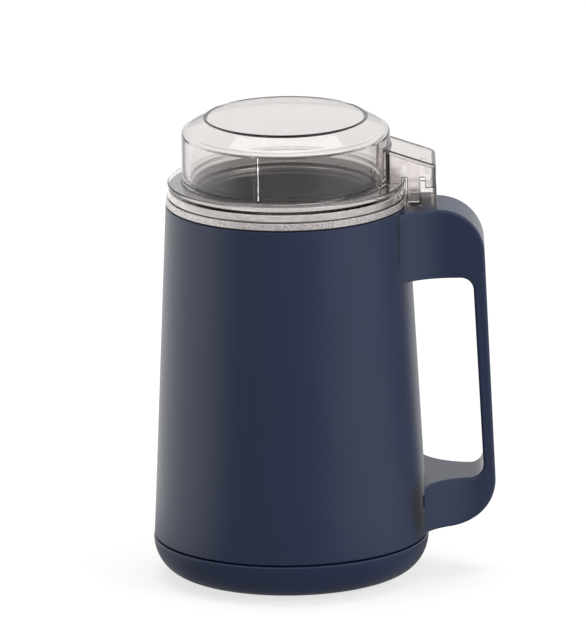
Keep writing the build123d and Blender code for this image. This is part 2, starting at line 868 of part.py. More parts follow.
with BuildPart() as handle:
    with BuildSketch(Plane.XY.offset(handle_mid_z)):
        with BuildLine():
            flare_lines(shell_top_radius + upper_flare_start, upper_flare_radius, upper_flare_run)
        make_face()
    extrude(amount=handle_top_z - handle_mid_z)
    with BuildSketch(Plane.XY.offset(handle_bottom_z)):
        with BuildLine():
            strap_start_x = handle_inner_x(handle_mid_z) - strap_flare_gap
            corner_start_x = handle_inner_x(lower_bracket_z) - corner_flare_gap
            flare_lines(min(strap_start_x, corner_start_x), lower_flare_radius, lower_flare_run)
        make_face()
    extrude(amount=handle_mid_z - handle_bottom_z)
    with BuildSketch(Plane.XZ) as handle_side:
        Polygon(
            (0, handle_top_z),
            (handle_top_x, handle_top_z),
            (handle_bottom_x, handle_bottom_z),
            (0, handle_bottom_z),
            align=None,
        )
        fillet(handle_side.vertices().sort_by(Axis.X)[-2:], handle_corner)
        with BuildLine():
            FilletPolyline(
                (0, upper_bracket_z),
                (handle_inner_x(upper_bracket_z), upper_bracket_z),
                (handle_inner_x(lower_bracket_z), lower_bracket_z),
                (0, lower_bracket_z),
                radius=window_corner,
                close=True,
            )
        make_face(mode=Mode.SUBTRACT)
    extrude(amount=shell_seam_radius, both=True, mode=Mode.INTERSECT)
    rim = [
        edge
        for edge in handle.edges().filter_by(Axis.Z, reverse=True).filter_by(Axis.Y, reverse=True)
        if edge.center().X > shell_top_radius and abs(edge.center().Y) > handle_half_width - handle_wall
    ]
    fillet(rim, handle_edge)
    # Hollow ends, open towards the body
    with BuildSketch(Plane.XZ) as upper_hollow:
        Polygon(
            (0, upper_bracket_z + handle_wall),
            (handle_outer_x(upper_bracket_z) - handle_wall, upper_bracket_z + handle_wall),
            (handle_top_x - handle_wall, handle_top_z - handle_wall),
            (0, handle_top_z - handle_wall),
            align=None,
        )
        fillet(upper_hollow.vertices().sort_by(Axis.X)[-2], handle_corner - handle_wall)
    extrude(amount=handle_half_width - handle_wall, both=True, mode=Mode.SUBTRACT)
    lower_hollow_x = handle_bottom_x - handle_corner
    with BuildSketch(Plane.XZ):
        with Locations((lower_hollow_x, lower_screw_z)):
            Rectangle(
                lower_hollow_x,
                handle_lower_height - 2 * handle_wall,
                align=(Align.MAX, Align.CENTER),
            )
    extrude(amount=handle_half_width - handle_wall, both=True, mode=Mode.SUBTRACT)
    # Screw bosses stand on the side walls and reach to the body
    for side_y, screw_z, seat_x in handle_screw_places:
        boss_y = side_y / abs(side_y) * (abs(side_y) + handle_half_width) / 2
        with BuildSketch(Plane.YZ.offset(seat_x)):
            with Locations((side_y, screw_z)):
                Circle(handle_boss_radius)
            with Locations((boss_y, screw_z)):
                Rectangle(handle_half_width - abs(side_y), 2 * handle_boss_radius)
        extrude(amount=shell_radius(screw_z) - seat_x + handle_boss_length)
    # Bosses under the top carry the switch bracket
    with BuildSketch(Plane.XY.offset(bracket_top_z)):
        for side in (-1, 1):
            with Locations((bracket_screw_x, side * bracket_screw_y)):
                Circle(bracket_boss_radius)
    extrude(amount=handle_top_z - handle_wall / 2 - bracket_top_z)
    with BuildSketch(Plane.XY.offset(bracket_top_z)):
        for side in (-1, 1):
            with Locations((bracket_screw_x, side * bracket_screw_y)):
                Circle(bracket_screw_radius + fit_gap)
    extrude(amount=bracket_screw_grip, mode=Mode.SUBTRACT)
    for side_y, screw_z, seat_x in handle_screw_places:
        with BuildSketch(Plane.YZ.offset(seat_x)):
            with Locations((side_y, screw_z)):
                Circle(screw_hole_radius)
        extrude(amount=handle_screw_length + overrun, mode=Mode.SUBTRACT)
    with BuildSketch(Plane.XY.offset(bracket_top_z)):
        with Locations((plunger_x, 0)):
            Circle(plunger_radius + running_gap)
    extrude(amount=handle_top_z - bracket_top_z, mode=Mode.SUBTRACT)
    # The ends follow the tapered shell
    with BuildSketch(Plane.XZ):
        Polygon(
            (0, seam_z),
            (shell_radius(seam_z) + joint_gap, seam_z),
            (shell_radius(shell_top_z) + joint_gap, shell_top_z),
            (0, shell_top_z),
            align=None,
        )
    revolve(axis=Axis.Z, mode=Mode.SUBTRACT)
handle.part.label = "handle"
export_step(handle.part, "parts/handle.step")

with BuildPart() as handle_screws:
    for side_y, screw_z, seat_x in handle_screw_places:
        with BuildSketch(Plane.YZ.offset(seat_x)):
            with Locations((side_y, screw_z)):
                Circle(handle_screw_head_radius)
        extrude(amount=-handle_screw_head_height)
        with BuildSketch(Plane.YZ.offset(seat_x)):
            with Locations((side_y, screw_z)):
                Circle(screw_radius)
        extrude(amount=handle_screw_length)
handle_screws.part.label = "handle_screws"
export_step(handle_screws.part, "parts/handle_screws.step")

with BuildPart() as plunger_bar:
    with BuildSketch(Plane.XY.offset(bar_z)):
        with Locations((bar_x, 0)):
            Rectangle(tongue_end_x - bar_x, 2 * plunger_bar_half_width, align=(Align.MIN, Align.CENTER))
            Rectangle(
                plunger_x + plunger_tail - bar_x,
                2 * (plunger_radius + plunger_cheek),
                align=(Align.MIN, Align.CENTER),
            )
    extrude(amount=plunger_plate)
plunger_bar.part.label = "plunger_bar"
export_step(plunger_bar.part, "parts/plunger_bar.step")

with BuildPart() as plunger_stem:
    with BuildSketch(Plane.XY.offset(tip_z)):
        with Locations((plunger_x, 0)):
            Circle(plunger_tip_radius)
    extrude(amount=stem_flange_z - tip_z)
    with BuildSketch(Plane.XY.offset(stem_flange_z)):
        with Locations((plunger_x, 0)):
            Circle(plunger_flange_radius)
    extrude(amount=plunger_flange_thickness)
    with BuildSketch(Plane.XY.offset(stem_flange_top_z)):
        with Locations((plunger_x, 0)):
            Circle(plunger_radius)
    extrude(amount=bar_z - stem_flange_top_z)
plunger_stem.part.label = "plunger_stem"
export_step(plunger_stem.part, "parts/plunger_stem.step")


def helix_point(plane, radius, pitch, turn):
    """Point on a helix about the plane's normal, a number of turns from its start."""
    angle = 2 * pi * turn
    return plane.from_local_coords((radius * cos(angle), radius * sin(angle), pitch * turn))


def helix_tangent(plane, radius, pitch, turn):
    """Unit tangent of the same helix."""
    angle = 2 * pi * turn
    step = Vector(-2 * pi * radius * sin(angle), 2 * pi * radius * cos(angle), pitch).normalized()
    return (plane.x_dir * step.X + plane.y_dir * step.Y + plane.z_dir * step.Z).normalized()


def helix_arcs(plane, radius, pitch, turns):
    """Quarter turns of a helix, each a pair of arcs that share a tangent where they meet."""
    for quarter in range(4 * turns):
        start = helix_point(plane, radius, pitch, quarter / 4)
        end = helix_point(plane, radius, pitch, (quarter + 1) / 4)
        leaving = helix_tangent(plane, radius, pitch, quarter / 4)
        arriving = helix_tangent(plane, radius, pitch, (quarter + 1) / 4)
        span = end - start
        along = span.dot(leaving + arriving)
        spread = 2 * (1 - leaving.dot(arriving))
        reach = (sqrt(along**2 + spread * span.dot(span)) - along) / spread
        first = start + leaving * reach
        second = end - arriving * reach
        middle = (first + second) / 2
        TangentArc(start, middle, tangent=leaving)
        TangentArc(middle, end, tangent=second - first)


def coil_gap_to_itself(plane, radius, pitch, turns, wire):
    """Least clear distance between neighbouring turns, measured on points of the helix."""
    points = [helix_point(plane, radius, pitch, i / gap_samples) for i in range(turns * gap_samples + 1)]
    apart = [
        (points[i] - points[j]).length
        for i in range(len(points))
        for j in range(i + gap_samples // 2, len(points))
    ]
    return min(apart) - wire


spring_plane = Plane((plunger_x, 0, bracket_top_z + spring_wire / 2 + spring_seat_gap))
spring_pitch = (spring_height - spring_wire - 2 * spring_seat_gap) / spring_turns
with BuildPart() as plunger_spring:
    with BuildLine():
        helix_arcs(spring_plane, spring_radius, spring_pitch, spring_turns)
    start_plane = Plane(
        helix_point(spring_plane, spring_radius, spring_pitch, 0),
        z_dir=helix_tangent(spring_plane, spring_radius, spring_pitch, 0),
    )
    with BuildSketch(start_plane):
        Circle(spring_wire / 2)
    sweep()
plunger_spring.part.label = "plunger_spring"
export_step(plunger_spring.part, "parts/plunger_spring.step")
spring_gap = coil_gap_to_itself(spring_plane, spring_radius, spring_pitch, spring_turns, spring_wire)
print(f"plunger spring: least gap to itself {spring_gap:.2f} mm")

with BuildPart() as switch_bracket:
    with BuildSketch(Plane.XY.offset(bracket_z)):
        with Locations((switch_x, 0)):
            Rectangle(switch_length, 2 * bracket_half_width, align=(Align.MIN, Align.CENTER))
        with Locations((bracket_screw_x, 0)):
            Rectangle(2 * bracket_boss_radius, 2 * (bracket_screw_y + bracket_boss_radius))
        with Locations((plunger_x, 0)):
            Circle(plunger_tip_radius + bracket_hole_clearance, mode=Mode.SUBTRACT)
        for side in (-1, 1):
            with Locations((bracket_screw_x, side * bracket_screw_y)):
                Circle(bracket_screw_radius + fit_gap, mode=Mode.SUBTRACT)
    extrude(amount=bracket_thickness)
    with BuildSketch(Plane.XY.offset(cheek_z)):
        for side in (-1, 1):
            with Locations((switch_x + switch_length / 2, side * (bracket_half_width - bracket_cheek / 2))):
                Rectangle(switch_length, bracket_cheek)
    extrude(amount=bracket_z - cheek_z)
    with BuildSketch(Plane.XZ):
        with Locations(*switch_pin_places):
            Circle(switch_pin_radius + fit_gap)
    extrude(amount=bracket_half_width, both=True, mode=Mode.SUBTRACT)
switch_bracket.part.label = "switch_bracket"
export_step(switch_bracket.part, "parts/switch_bracket.step")

with BuildPart() as bracket_screws:
    with BuildSketch(Plane.XY.offset(bracket_z)):
        for side in (-1, 1):
            with Locations((bracket_screw_x, side * bracket_screw_y)):
                Circle(bracket_boss_radius)
    extrude(amount=-bracket_screw_head)
    with BuildSketch(Plane.XY.offset(bracket_z)):
        for side in (-1, 1):
            with Locations((bracket_screw_x, side * bracket_screw_y)):
                Circle(bracket_screw_radius)
    extrude(amount=bracket_thickness + bracket_screw_grip - fit_gap)
bracket_screws.part.label = "bracket_screws"
export_step(bracket_screws.part, "parts/bracket_screws.step")

with BuildPart() as microswitch:
    with BuildSketch(Plane.XY.offset(switch_z)):
        with Locations((switch_x, 0)):
            Rectangle(switch_length, 2 * switch_half_width, align=(Align.MIN, Align.CENTER))
    extrude(amount=switch_height)
    with BuildSketch(Plane.XY.offset(switch_top_z)):
        with Locations((plunger_x, 0)):
            Circle(button_radius + running_gap)
    extrude(amount=-(button_depth + press_travel + press_clearance), mode=Mode.SUBTRACT)
    with BuildSketch(Plane.XZ):
        with Locations(*switch_pin_places):
            Circle(switch_pin_radius + fit_gap)
    extrude(amount=switch_half_width, both=True, mode=Mode.SUBTRACT)
microswitch.part.label = "microswitch"
export_step(microswitch.part, "parts/microswitch.step")

with BuildPart() as switch_pins:
    with BuildSketch(Plane.XZ):
        with Locations(*switch_pin_places):
            Circle(switch_pin_radius)
    extrude(amount=bracket_half_width, both=True)
switch_pins.part.label = "switch_pins"
export_step(switch_pins.part, "parts/switch_pins.step")

with BuildPart() as switch_button:
    with BuildSketch(Plane.XY.offset(switch_top_z - button_depth)):
        with Locations((plunger_x, 0)):
            Circle(button_radius)
    extrude(amount=button_top_z - switch_top_z + button_depth)
switch_button.part.label = "switch_button"
export_step(switch_button.part, "parts/switch_button.step")

with BuildPart() as switch_terminals:
    with BuildSketch(Plane.XY.offset(switch_z)):
        with Locations(*[(x, 0) for x in terminal_places]):
            Rectangle(terminal_thickness, terminal_width)
    extrude(amount=-terminal_length)
switch_terminals.part.label = "switch_terminals"
export_step(switch_terminals.part, "parts/switch_terminals.step")

with BuildPart() as isolators:
    with BuildSketch(Plane.XY.offset(frame_top_z)):
        with PolarLocations(mount_circle, mount_count, mount_first_angle):
            Circle(isolator_radius)
            Circle(screw_hole_radius, mode=Mode.SUBTRACT)
    extrude(amount=isolator_height)
isolators.part.label = "isolators"
export_step(isolators.part, "parts/isolators.step")

with BuildPart() as motor_screws:
    with BuildSketch(Plane.XY.offset(frame_z)):
        with PolarLocations(mount_circle, mount_count, mount_first_angle):
            Circle(motor_screw_head_radius)
    extrude(amount=-motor_screw_head_height)
    with BuildSketch(Plane.XY.offset(frame_z)):
        with PolarLocations(mount_circle, mount_count, mount_first_angle):
            Circle(screw_radius)
    extrude(amount=shelf_top_z + mount_boss_height - screw_tip_room - frame_z)
motor_screws.part.label = "motor_screws"
export_step(motor_screws.part, "parts/motor_screws.step")

with BuildPart() as upper_frame:
    with BuildSketch(Plane.XY.offset(frame_z)):
        Circle(frame_disc_radius)
        Rectangle(2 * leg_x + leg_thickness, leg_width)
        with PolarLocations(mount_circle / 2, mount_count, mount_first_angle):
            Rectangle(mount_circle, frame_arm_width)
        with PolarLocations(mount_circle, mount_count, mount_first_angle):
            Circle(isolator_radius)
            Circle(screw_hole_radius, mode=Mode.SUBTRACT)
    extrude(amount=frame_plate)
    with BuildSketch(Plane.XY.offset(upper_bush_z)):
        Circle(frame_hub_radius)
    extrude(amount=frame_z - upper_bush_z)
    with BuildSketch(Plane.XY.offset(stack_top_z)):
        with Locations((-leg_x, 0), (leg_x, 0)):
            Rectangle(leg_thickness, leg_width)
    extrude(amount=frame_z - stack_top_z)
    with BuildSketch(Plane.XY.offset(upper_bush_z)):
        Circle(bush_radius + fit_gap)
    extrude(amount=frame_top_z - upper_bush_z, mode=Mode.SUBTRACT)
    with BuildSketch(Plane.XY.offset(stack_top_z)):
        with Locations((-leg_x, 0), (leg_x, 0)):
            Circle(motor_bolt_radius + fit_gap)
    extrude(amount=frame_z - stack_top_z, mode=Mode.SUBTRACT)
upper_frame.part.label = "upper_frame"
export_step(upper_frame.part, "parts/upper_frame.step")

with BuildPart() as lower_frame:
    tower_far_y = commutator_radius + tower_offset + tower_depth
    tower_half_width = tube_half_width + tower_margin
    with BuildSketch(Plane.XY.offset(lower_plate_z)):
        Rectangle(2 * leg_x + leg_thickness, leg_width)
        Rectangle(2 * tower_half_width, 2 * tower_far_y)
    extrude(amount=frame_plate)
    with BuildSketch(Plane.XY.offset(lower_bush_z)):
        Circle(frame_hub_radius)
    extrude(amount=bush_length)
    with BuildSketch(Plane.XY.offset(lower_plate_top_z)):
        with Locations((-leg_x, 0), (leg_x, 0)):
            Rectangle(leg_thickness, leg_width)
    extrude(amount=stack_z - lower_plate_top_z)
    with BuildSketch(Plane.XY.offset(lower_plate_top_z)):
        with Locations((0, tower_far_y - tower_depth / 2), (0, tower_depth / 2 - tower_far_y)):
            Rectangle(2 * tower_half_width, tower_depth)
    extrude(amount=brush_z + tube_half_height + tower_margin - lower_plate_top_z)
    with BuildSketch(Plane.XZ):
        with Locations((0, brush_z)):
            Rectangle(2 * (tube_half_width + fit_gap), 2 * (tube_half_height + fit_gap))
    extrude(amount=tower_far_y, both=True, mode=Mode.SUBTRACT)
    with BuildSketch(Plane.XY.offset(lower_bush_z)):
        Circle(bush_radius + fit_gap)
    extrude(amount=bush_length, mode=Mode.SUBTRACT)
    with BuildSketch(Plane.XY.offset(lower_plate_z)):
        with Locations((-leg_x, 0), (leg_x, 0)):
            Circle(motor_bolt_radius + fit_gap)
    extrude(amount=stack_z - lower_plate_z, mode=Mode.SUBTRACT)
lower_frame.part.label = "lower_frame"
export_step(lower_frame.part, "parts/lower_frame.step")

for bush_name, bush_z in (("upper_bush", upper_bush_z), ("lower_bush", lower_bush_z)):
    with BuildPart() as bush:
        with BuildSketch(Plane.XY.offset(bush_z)):
            Circle(bush_radius)
            Circle(shaft_hole_radius, mode=Mode.SUBTRACT)
        extrude(amount=bush_length)
    bush.part.label = bush_name
    export_step(bush.part, f"parts/{bush_name}.step")

with BuildPart() as motor_bolts:
    with BuildSketch(Plane.XY.offset(lower_plate_z)):
        with Locations((-leg_x, 0), (leg_x, 0)):
            Circle(motor_bolt_head_radius)
    extrude(amount=-motor_bolt_head_height)
    with BuildSketch(Plane.XY.offset(lower_plate_z)):
        with Locations((-leg_x, 0), (leg_x, 0)):
            Circle(motor_bolt_radius)
    extrude(amount=frame_z - lower_plate_z - fit_gap)
motor_bolts.part.label = "motor_bolts"
export_step(motor_bolts.part, "parts/motor_bolts.step")

with BuildPart() as stator_core:
    window_half_length = yoke_half_length - yoke_side
    window_half_depth = yoke_half_depth - yoke_end
    with BuildSketch(Plane.XY.offset(stack_z)):
        RectangleRounded(2 * yoke_half_length, 2 * yoke_half_depth, yoke_corner)
        Rectangle(2 * window_half_length, 2 * window_half_depth, mode=Mode.SUBTRACT)
        Rectangle(pole_width, 2 * window_half_depth)
        Circle(shoe_radius)
        shoe_margin = window_half_length - shoe_width / 2
        for side in (-1, 1):
            with Locations((side * (shoe_width / 2 + shoe_margin / 2), 0)):
                Rectangle(shoe_margin, 2 * window_half_depth, mode=Mode.SUBTRACT)
        Circle(stator_bore_radius, mode=Mode.SUBTRACT)
        with Locations((-leg_x, 0), (leg_x, 0)):
            Circle(motor_bolt_radius + fit_gap, mode=Mode.SUBTRACT)
    extrude(amount=stack_height)
stator_core.part.label = "stator_core"
export_step(stator_core.part, "parts/stator_core.step")

with BuildPart() as field_coils:
    coil_inner_y = shoe_radius + coil_gap
    coil_depth = window_half_depth - coil_gap - coil_inner_y
    for side in (-1, 1):
        near_y = coil_inner_y if side > 0 else -coil_inner_y - coil_depth
        coil_plane = Plane((0, near_y, (stack_z + stack_top_z) / 2), x_dir=(1, 0, 0), z_dir=(0, 1, 0))
        with BuildSketch(coil_plane):
            RectangleRounded(
                pole_width + 2 * (coil_gap + coil_width),
                stack_height + 2 * (coil_gap + coil_width),
                coil_width,
            )
            Rectangle(pole_width + 2 * coil_gap, stack_height + 2 * coil_gap, mode=Mode.SUBTRACT)
        extrude(amount=coil_depth)
field_coils.part.label = "field_coils"
export_step(field_coils.part, "parts/field_coils.step")

with BuildPart() as motor_shaft:
    with BuildSketch(Plane.XY.offset(shaft_z)):
        Circle(shaft_radius)
    extrude(amount=shaft_top_z - shaft_z)
motor_shaft.part.label = "motor_shaft"
export_step(motor_shaft.part, "parts/motor_shaft.step")

with BuildPart() as armature_core:
    with BuildSketch(Plane.XY.offset(stack_z)):
        Circle(core_radius)
        with PolarLocations(core_radius - slot_depth / 2, slot_count):
            Rectangle(slot_depth + overrun, slot_width, mode=Mode.SUBTRACT)
        Circle(shaft_radius + fit_gap, mode=Mode.SUBTRACT)
    extrude(amount=stack_height)
armature_core.part.label = "armature_core"
export_step(armature_core.part, "parts/armature_core.step")

with BuildPart() as armature_winding:
    for ring_z in (stack_z - end_turn_height, stack_top_z):
        with BuildSketch(Plane.XY.offset(ring_z)):
            Circle(winding_radius)
            Circle(winding_radius - end_turn_wall, mode=Mode.SUBTRACT)
        extrude(amount=end_turn_height)
    fillet(armature_winding.edges().group_by(Axis.Z)[-1], end_turn_round)
    fillet(armature_winding.edges().group_by(Axis.Z)[0], end_turn_round)
    slot_bottom = core_radius - slot_depth - overrun / 2 + slot_liner
    with BuildSketch(Plane.XY.offset(stack_z)):
        with PolarLocations((slot_bottom + winding_radius) / 2, slot_count):
            Rectangle(winding_radius - slot_bottom, slot_width - 2 * slot_liner)
    extrude(amount=stack_height)
armature_winding.part.label = "armature_winding"
export_step(armature_winding.part, "parts/armature_winding.step")

with BuildPart() as commutator:
    with BuildSketch(Plane.XY.offset(commutator_z)):
        Circle(commutator_radius)
        with PolarLocations(commutator_radius, slot_count):
            Rectangle(2 * commutator_groove_depth, commutator_groove, mode=Mode.SUBTRACT)
        Circle(shaft_radius + fit_gap, mode=Mode.SUBTRACT)
    extrude(amount=commutator_length)
commutator.part.label = "commutator"
export_step(commutator.part, "parts/commutator.step")

with BuildPart() as cooling_fan:
    with BuildSketch(Plane.XY.offset(fan_z)):
        Circle(fan_hub_radius)
    extrude(amount=fan_height)
    with BuildSketch(Plane.XY.offset(fan_z)):
        Circle(fan_radius)
    extrude(amount=fan_disc)
    blade_span = fan_radius - fan_hub_radius + fan_blade_thickness
    with BuildSketch(Plane.XY.offset(fan_z)):
        with PolarLocations(fan_radius - blade_span / 2, fan_blade_count):
            Rectangle(blade_span, fan_blade_thickness)
    extrude(amount=fan_height)
    with BuildSketch(Plane.XY.offset(fan_z)):
        Circle(shaft_radius + fit_gap)
    extrude(amount=fan_height, mode=Mode.SUBTRACT)
cooling_fan.part.label = "cooling_fan"
export_step(cooling_fan.part, "parts/cooling_fan.step")

with BuildPart() as brush_holders:
    for side in (-1, 1):
        tube_plane = Plane((0, side * tube_near_y, brush_z), x_dir=(1, 0, 0), z_dir=(0, side, 0))
        with BuildSketch(tube_plane):
            Rectangle(2 * tube_half_width, 2 * tube_half_height)
        extrude(amount=brush_tube_length)
        with BuildSketch(tube_plane):
            Rectangle(2 * (brush_half_width + fit_gap), 2 * (brush_half_height + fit_gap))
        extrude(amount=brush_tube_length - brush_cap, mode=Mode.SUBTRACT)
brush_holders.part.label = "brush_holders"
export_step(brush_holders.part, "parts/brush_holders.step")

with BuildPart() as carbon_brushes:
    for side in (-1, 1):
        brush_y = side * (commutator_radius + brush_gap)
        with BuildSketch(Plane((0, brush_y, brush_z), x_dir=(1, 0, 0), z_dir=(0, side, 0))):
            Rectangle(2 * brush_half_width, 2 * brush_half_height)
        extrude(amount=brush_length)
carbon_brushes.part.label = "carbon_brushes"
export_step(carbon_brushes.part, "parts/carbon_brushes.step")

brush_back_y = commutator_radius + brush_gap + brush_length
brush_spring_room = tube_near_y + brush_tube_length - brush_cap - brush_back_y
brush_spring_pitch = (brush_spring_room - brush_spring_wire - 2 * spring_seat_gap) / brush_spring_turns
for spring_name, side in (("front_brush_spring", -1), ("back_brush_spring", 1)):
    first_y = brush_back_y + spring_seat_gap + brush_spring_wire / 2
    coil_plane = Plane((0, side * first_y, brush_z), x_dir=(1, 0, 0), z_dir=(0, side, 0))
    with BuildPart() as brush_spring:
        with BuildLine():
            helix_arcs(coil_plane, brush_spring_radius, brush_spring_pitch, brush_spring_turns)
        start_plane = Plane(
            helix_point(coil_plane, brush_spring_radius, brush_spring_pitch, 0),
            z_dir=helix_tangent(coil_plane, brush_spring_radius, brush_spring_pitch, 0),
        )
        with BuildSketch(start_plane):
            Circle(brush_spring_wire / 2)
        sweep()
    brush_spring.part.label = spring_name
    export_step(brush_spring.part, f"parts/{spring_name}.step")
    least_gap = coil_gap_to_itself(
        coil_plane, brush_spring_radius, brush_spring_pitch, brush_spring_turns, brush_spring_wire
    )
    print(f"{spring_name}: least gap to itself {least_gap:.2f} mm")

with BuildPart() as blade_spacer:
    with BuildSketch(Plane.XY.offset(spacer_z)):
        Circle(spacer_radius)
        Circle(shaft_radius + fit_gap, mode=Mode.SUBTRACT)
    extrude(amount=blade_z - spacer_z)
blade_spacer.part.label = "blade_spacer"
export_step(blade_spacer.part, "parts/blade_spacer.step")

with BuildPart() as blade:
    with BuildSketch(Plane.XY.offset(blade_z)):
        Circle(blade_hub_radius)
    extrude(amount=blade_thickness)
    wing_length = blade_radius - blade_hub_radius / 2
    for side in (-1, 1):
        tilt = radians(blade_pitch)
        wing_plane = Plane(
            (side * blade_hub_radius / 2, 0, blade_z + blade_thickness / 2),
            x_dir=(side, 0, 0),
            z_dir=(0, -side * sin(tilt), cos(tilt)),
        )
        with BuildSketch(wing_plane):
            Polygon(
                (0, -blade_width / 2),
                (wing_length - blade_width / 2, -blade_width / 2),
                (wing_length, -blade_width * blade_tip_share),
                (wing_length, blade_width / 2),
                (0, blade_width / 2),
                align=None,
            )
        extrude(amount=blade_thickness / 2, both=True)
    # The hub is clamped flat between the spacer and the nut
    with BuildSketch(Plane.XY.offset(spacer_z)):
        Circle(spacer_radius + blade_relief)
    extrude(amount=blade_z - spacer_z, mode=Mode.SUBTRACT)
    with BuildSketch(Plane.XY.offset(blade_top_z)):
        Circle(nut_radius + blade_relief)
    extrude(amount=nut_height, mode=Mode.SUBTRACT)
    with BuildSketch(Plane.XY.offset(blade_z)):
        Circle(shaft_radius + fit_gap)
    extrude(amount=blade_thickness, mode=Mode.SUBTRACT)
blade.part.label = "blade"
export_step(blade.part, "parts/blade.step")

with BuildPart() as blade_nut:
    with BuildSketch(Plane.XY.offset(blade_top_z)):
        RegularPolygon(nut_radius, nut_sides)
    extrude(amount=nut_height)
    chamfer(blade_nut.edges().group_by(Axis.Z)[-1], nut_chamfer)
    with BuildSketch(Plane.XY.offset(blade_top_z)):
        Circle(shaft_radius + fit_gap)
    extrude(amount=shaft_top_z - blade_top_z + fit_gap, mode=Mode.SUBTRACT)
blade_nut.part.label = "blade_nut"
export_step(blade_nut.part, "parts/blade_nut.step")

with BuildPart() as capacitor:
    with BuildSketch(Plane.XY.offset(base_floor_z)):
        with Locations((capacitor_offset, 0)):
            Rectangle(capacitor_width, capacitor_length)
    extrude(amount=capacitor_height)
    fillet(capacitor.edges().filter_by(Axis.Z), capacitor_edge)
capacitor.part.label = "capacitor"
export_step(capacitor.part, "parts/capacitor.step")

brush_end_y = tube_near_y + brush_tube_length
lead_far_y = brush_end_y + lead_loop
capacitor_top_z = base_floor_z + capacitor_height
lead_routes = {
    "brush_lead": [
        (terminal_places[0], terminal_width / 2, lead_z),
        (terminal_places[0], lead_y, lead_z),
        (mount_circle, lead_y, lead_z),
        (mount_circle, lead_y, brush_z),
        (leg_x, lead_far_y, brush_z),
        (0, lead_far_y, brush_z),
        (0, brush_end_y, brush_z),
    ],
    "supply_lead": [
        (terminal_places[1], -terminal_width / 2, lead_z),
        (terminal_places[1], -lead_y, lead_z),
        (mount_circle, -lead_y, lead_z),
        (mount_circle, -lead_y, capacitor_top_z + 2 * lead_loop),
        (capacitor_offset, -lead_y, capacitor_top_z + lead_loop),
        (capacitor_offset, -lead_y, capacitor_top_z),
    ],
}
for lead_name, route in lead_routes.items():
    with BuildPart() as lead:
        with BuildLine():
            FilletPolyline(*route, radius=lead_bend)
        with BuildSketch(Plane(route[0], z_dir=Vector(*route[1]) - Vector(*route[0]))):
            Circle(lead_radius)
        sweep()
    lead.part.label = lead_name
    export_step(lead.part, f"parts/{lead_name}.step")
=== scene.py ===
# %% [markdown]
# # An electric coffee grinder, dressed from its solids
# The grinder was drawn first as real solids: a navy housing with a loop handle, a steel collar and bowl,
# a clear lid and the motor inside. Here those solids become a finished picture.
# A solid whose shape is already right keeps its mesh and gets a better surface.
# The lid and the collar are made again as turned surfaces, because their small rounded edges
# are what the eye reads as plastic and steel. One spring gets a merged copy of its mesh.

# %% Load the frame
import math

import bmesh
import bpy
import numpy as np
from mathutils import Matrix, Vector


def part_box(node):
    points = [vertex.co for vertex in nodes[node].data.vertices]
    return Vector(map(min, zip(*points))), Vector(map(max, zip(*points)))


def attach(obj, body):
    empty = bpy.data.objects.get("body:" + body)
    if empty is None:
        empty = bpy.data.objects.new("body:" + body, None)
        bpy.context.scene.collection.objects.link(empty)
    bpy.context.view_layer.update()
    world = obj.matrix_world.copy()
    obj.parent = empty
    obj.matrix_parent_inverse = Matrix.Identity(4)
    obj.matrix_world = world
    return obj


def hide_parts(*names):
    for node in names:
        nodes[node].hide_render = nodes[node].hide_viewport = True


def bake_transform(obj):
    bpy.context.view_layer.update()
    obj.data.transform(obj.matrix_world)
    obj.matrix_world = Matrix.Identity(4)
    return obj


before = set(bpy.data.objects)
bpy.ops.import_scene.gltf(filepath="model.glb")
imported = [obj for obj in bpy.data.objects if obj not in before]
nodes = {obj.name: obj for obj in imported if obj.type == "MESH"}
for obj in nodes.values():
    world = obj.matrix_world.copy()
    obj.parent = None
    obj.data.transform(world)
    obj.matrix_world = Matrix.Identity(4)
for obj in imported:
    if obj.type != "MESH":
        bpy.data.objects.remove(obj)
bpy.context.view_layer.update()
mm = 0.001

# %% [markdown]
# ## Camera
# The rims of the seam, the collar and the lid are circles, and their ellipses in the photograph give
# the viewing height, a slight roll and the scale.
# A long lens far away gives the same nearly parallel view. The camera's axes are worked out as three
# vectors and put straight into its matrix.

# %% Camera
image_height = 643
view_height = math.radians(14.75)
view_roll = math.radians(0.83)
pixels_per_mm = 2.575
camera_distance = 9.0
look_at = np.array([0.0, 0.0, 105.21 * mm])
aim_right, aim_up = 1.864 * mm, -4.893 * mm

level = np.array([1.0, 0.0, 0.0])
rise = np.array([0.0, math.sin(view_height), math.cos(view_height)])
right = math.cos(view_roll) * level - math.sin(view_roll) * rise
up = math.sin(view_roll) * level + math.cos(view_roll) * rise
back = np.cross(right, up)
camera_spot = look_at + aim_right * right + aim_up * up + camera_distance * back

lens = bpy.data.cameras.new("long_lens")
lens.sensor_fit = "VERTICAL"
lens.sensor_height = 36.0
lens.lens = lens.sensor_height * camera_distance / (image_height / pixels_per_mm * mm)
camera = bpy.data.objects.new("camera", lens)
bpy.context.scene.collection.objects.link(camera)
camera_axes = np.eye(4)
camera_axes[:3] = np.column_stack([right, up, back, camera_spot])
camera.matrix_world = Matrix(camera_axes.tolist())
bpy.context.scene.camera = camera
bpy.context.scene.view_settings.view_transform = "Standard"
print(f"lens {lens.lens:.1f} mm at {camera_distance} m")

# %% [markdown]
# ## Colours and nodes
# Colours are written as screen hex values and turned into linear light by the usual rule.
# One small function adds a node with its settings and links, so that each material below reads
# as a short list of what the surface does.
# Noise seldom leaves the span from 0.3 to 0.7, so a finish that needs its full range stretches that span.

# %% Colour and node helpers
noise_span = {"From Min": 0.3, "From Max": 0.7}


def linear(code):
    """Linear light of an sRGB hex colour: c / 12.92 where c is up to 0.04045,
    otherwise ((c + 0.055) / 1.055) to the power 2.4."""
    c = np.array([int(code[i:i + 2], 16) for i in (1, 3, 5)]) / 255
    c = np.where(c <= 0.04045, c / 12.92, ((c + 0.055) / 1.055) ** 2.4)
    return (*c.tolist(), 1.0)


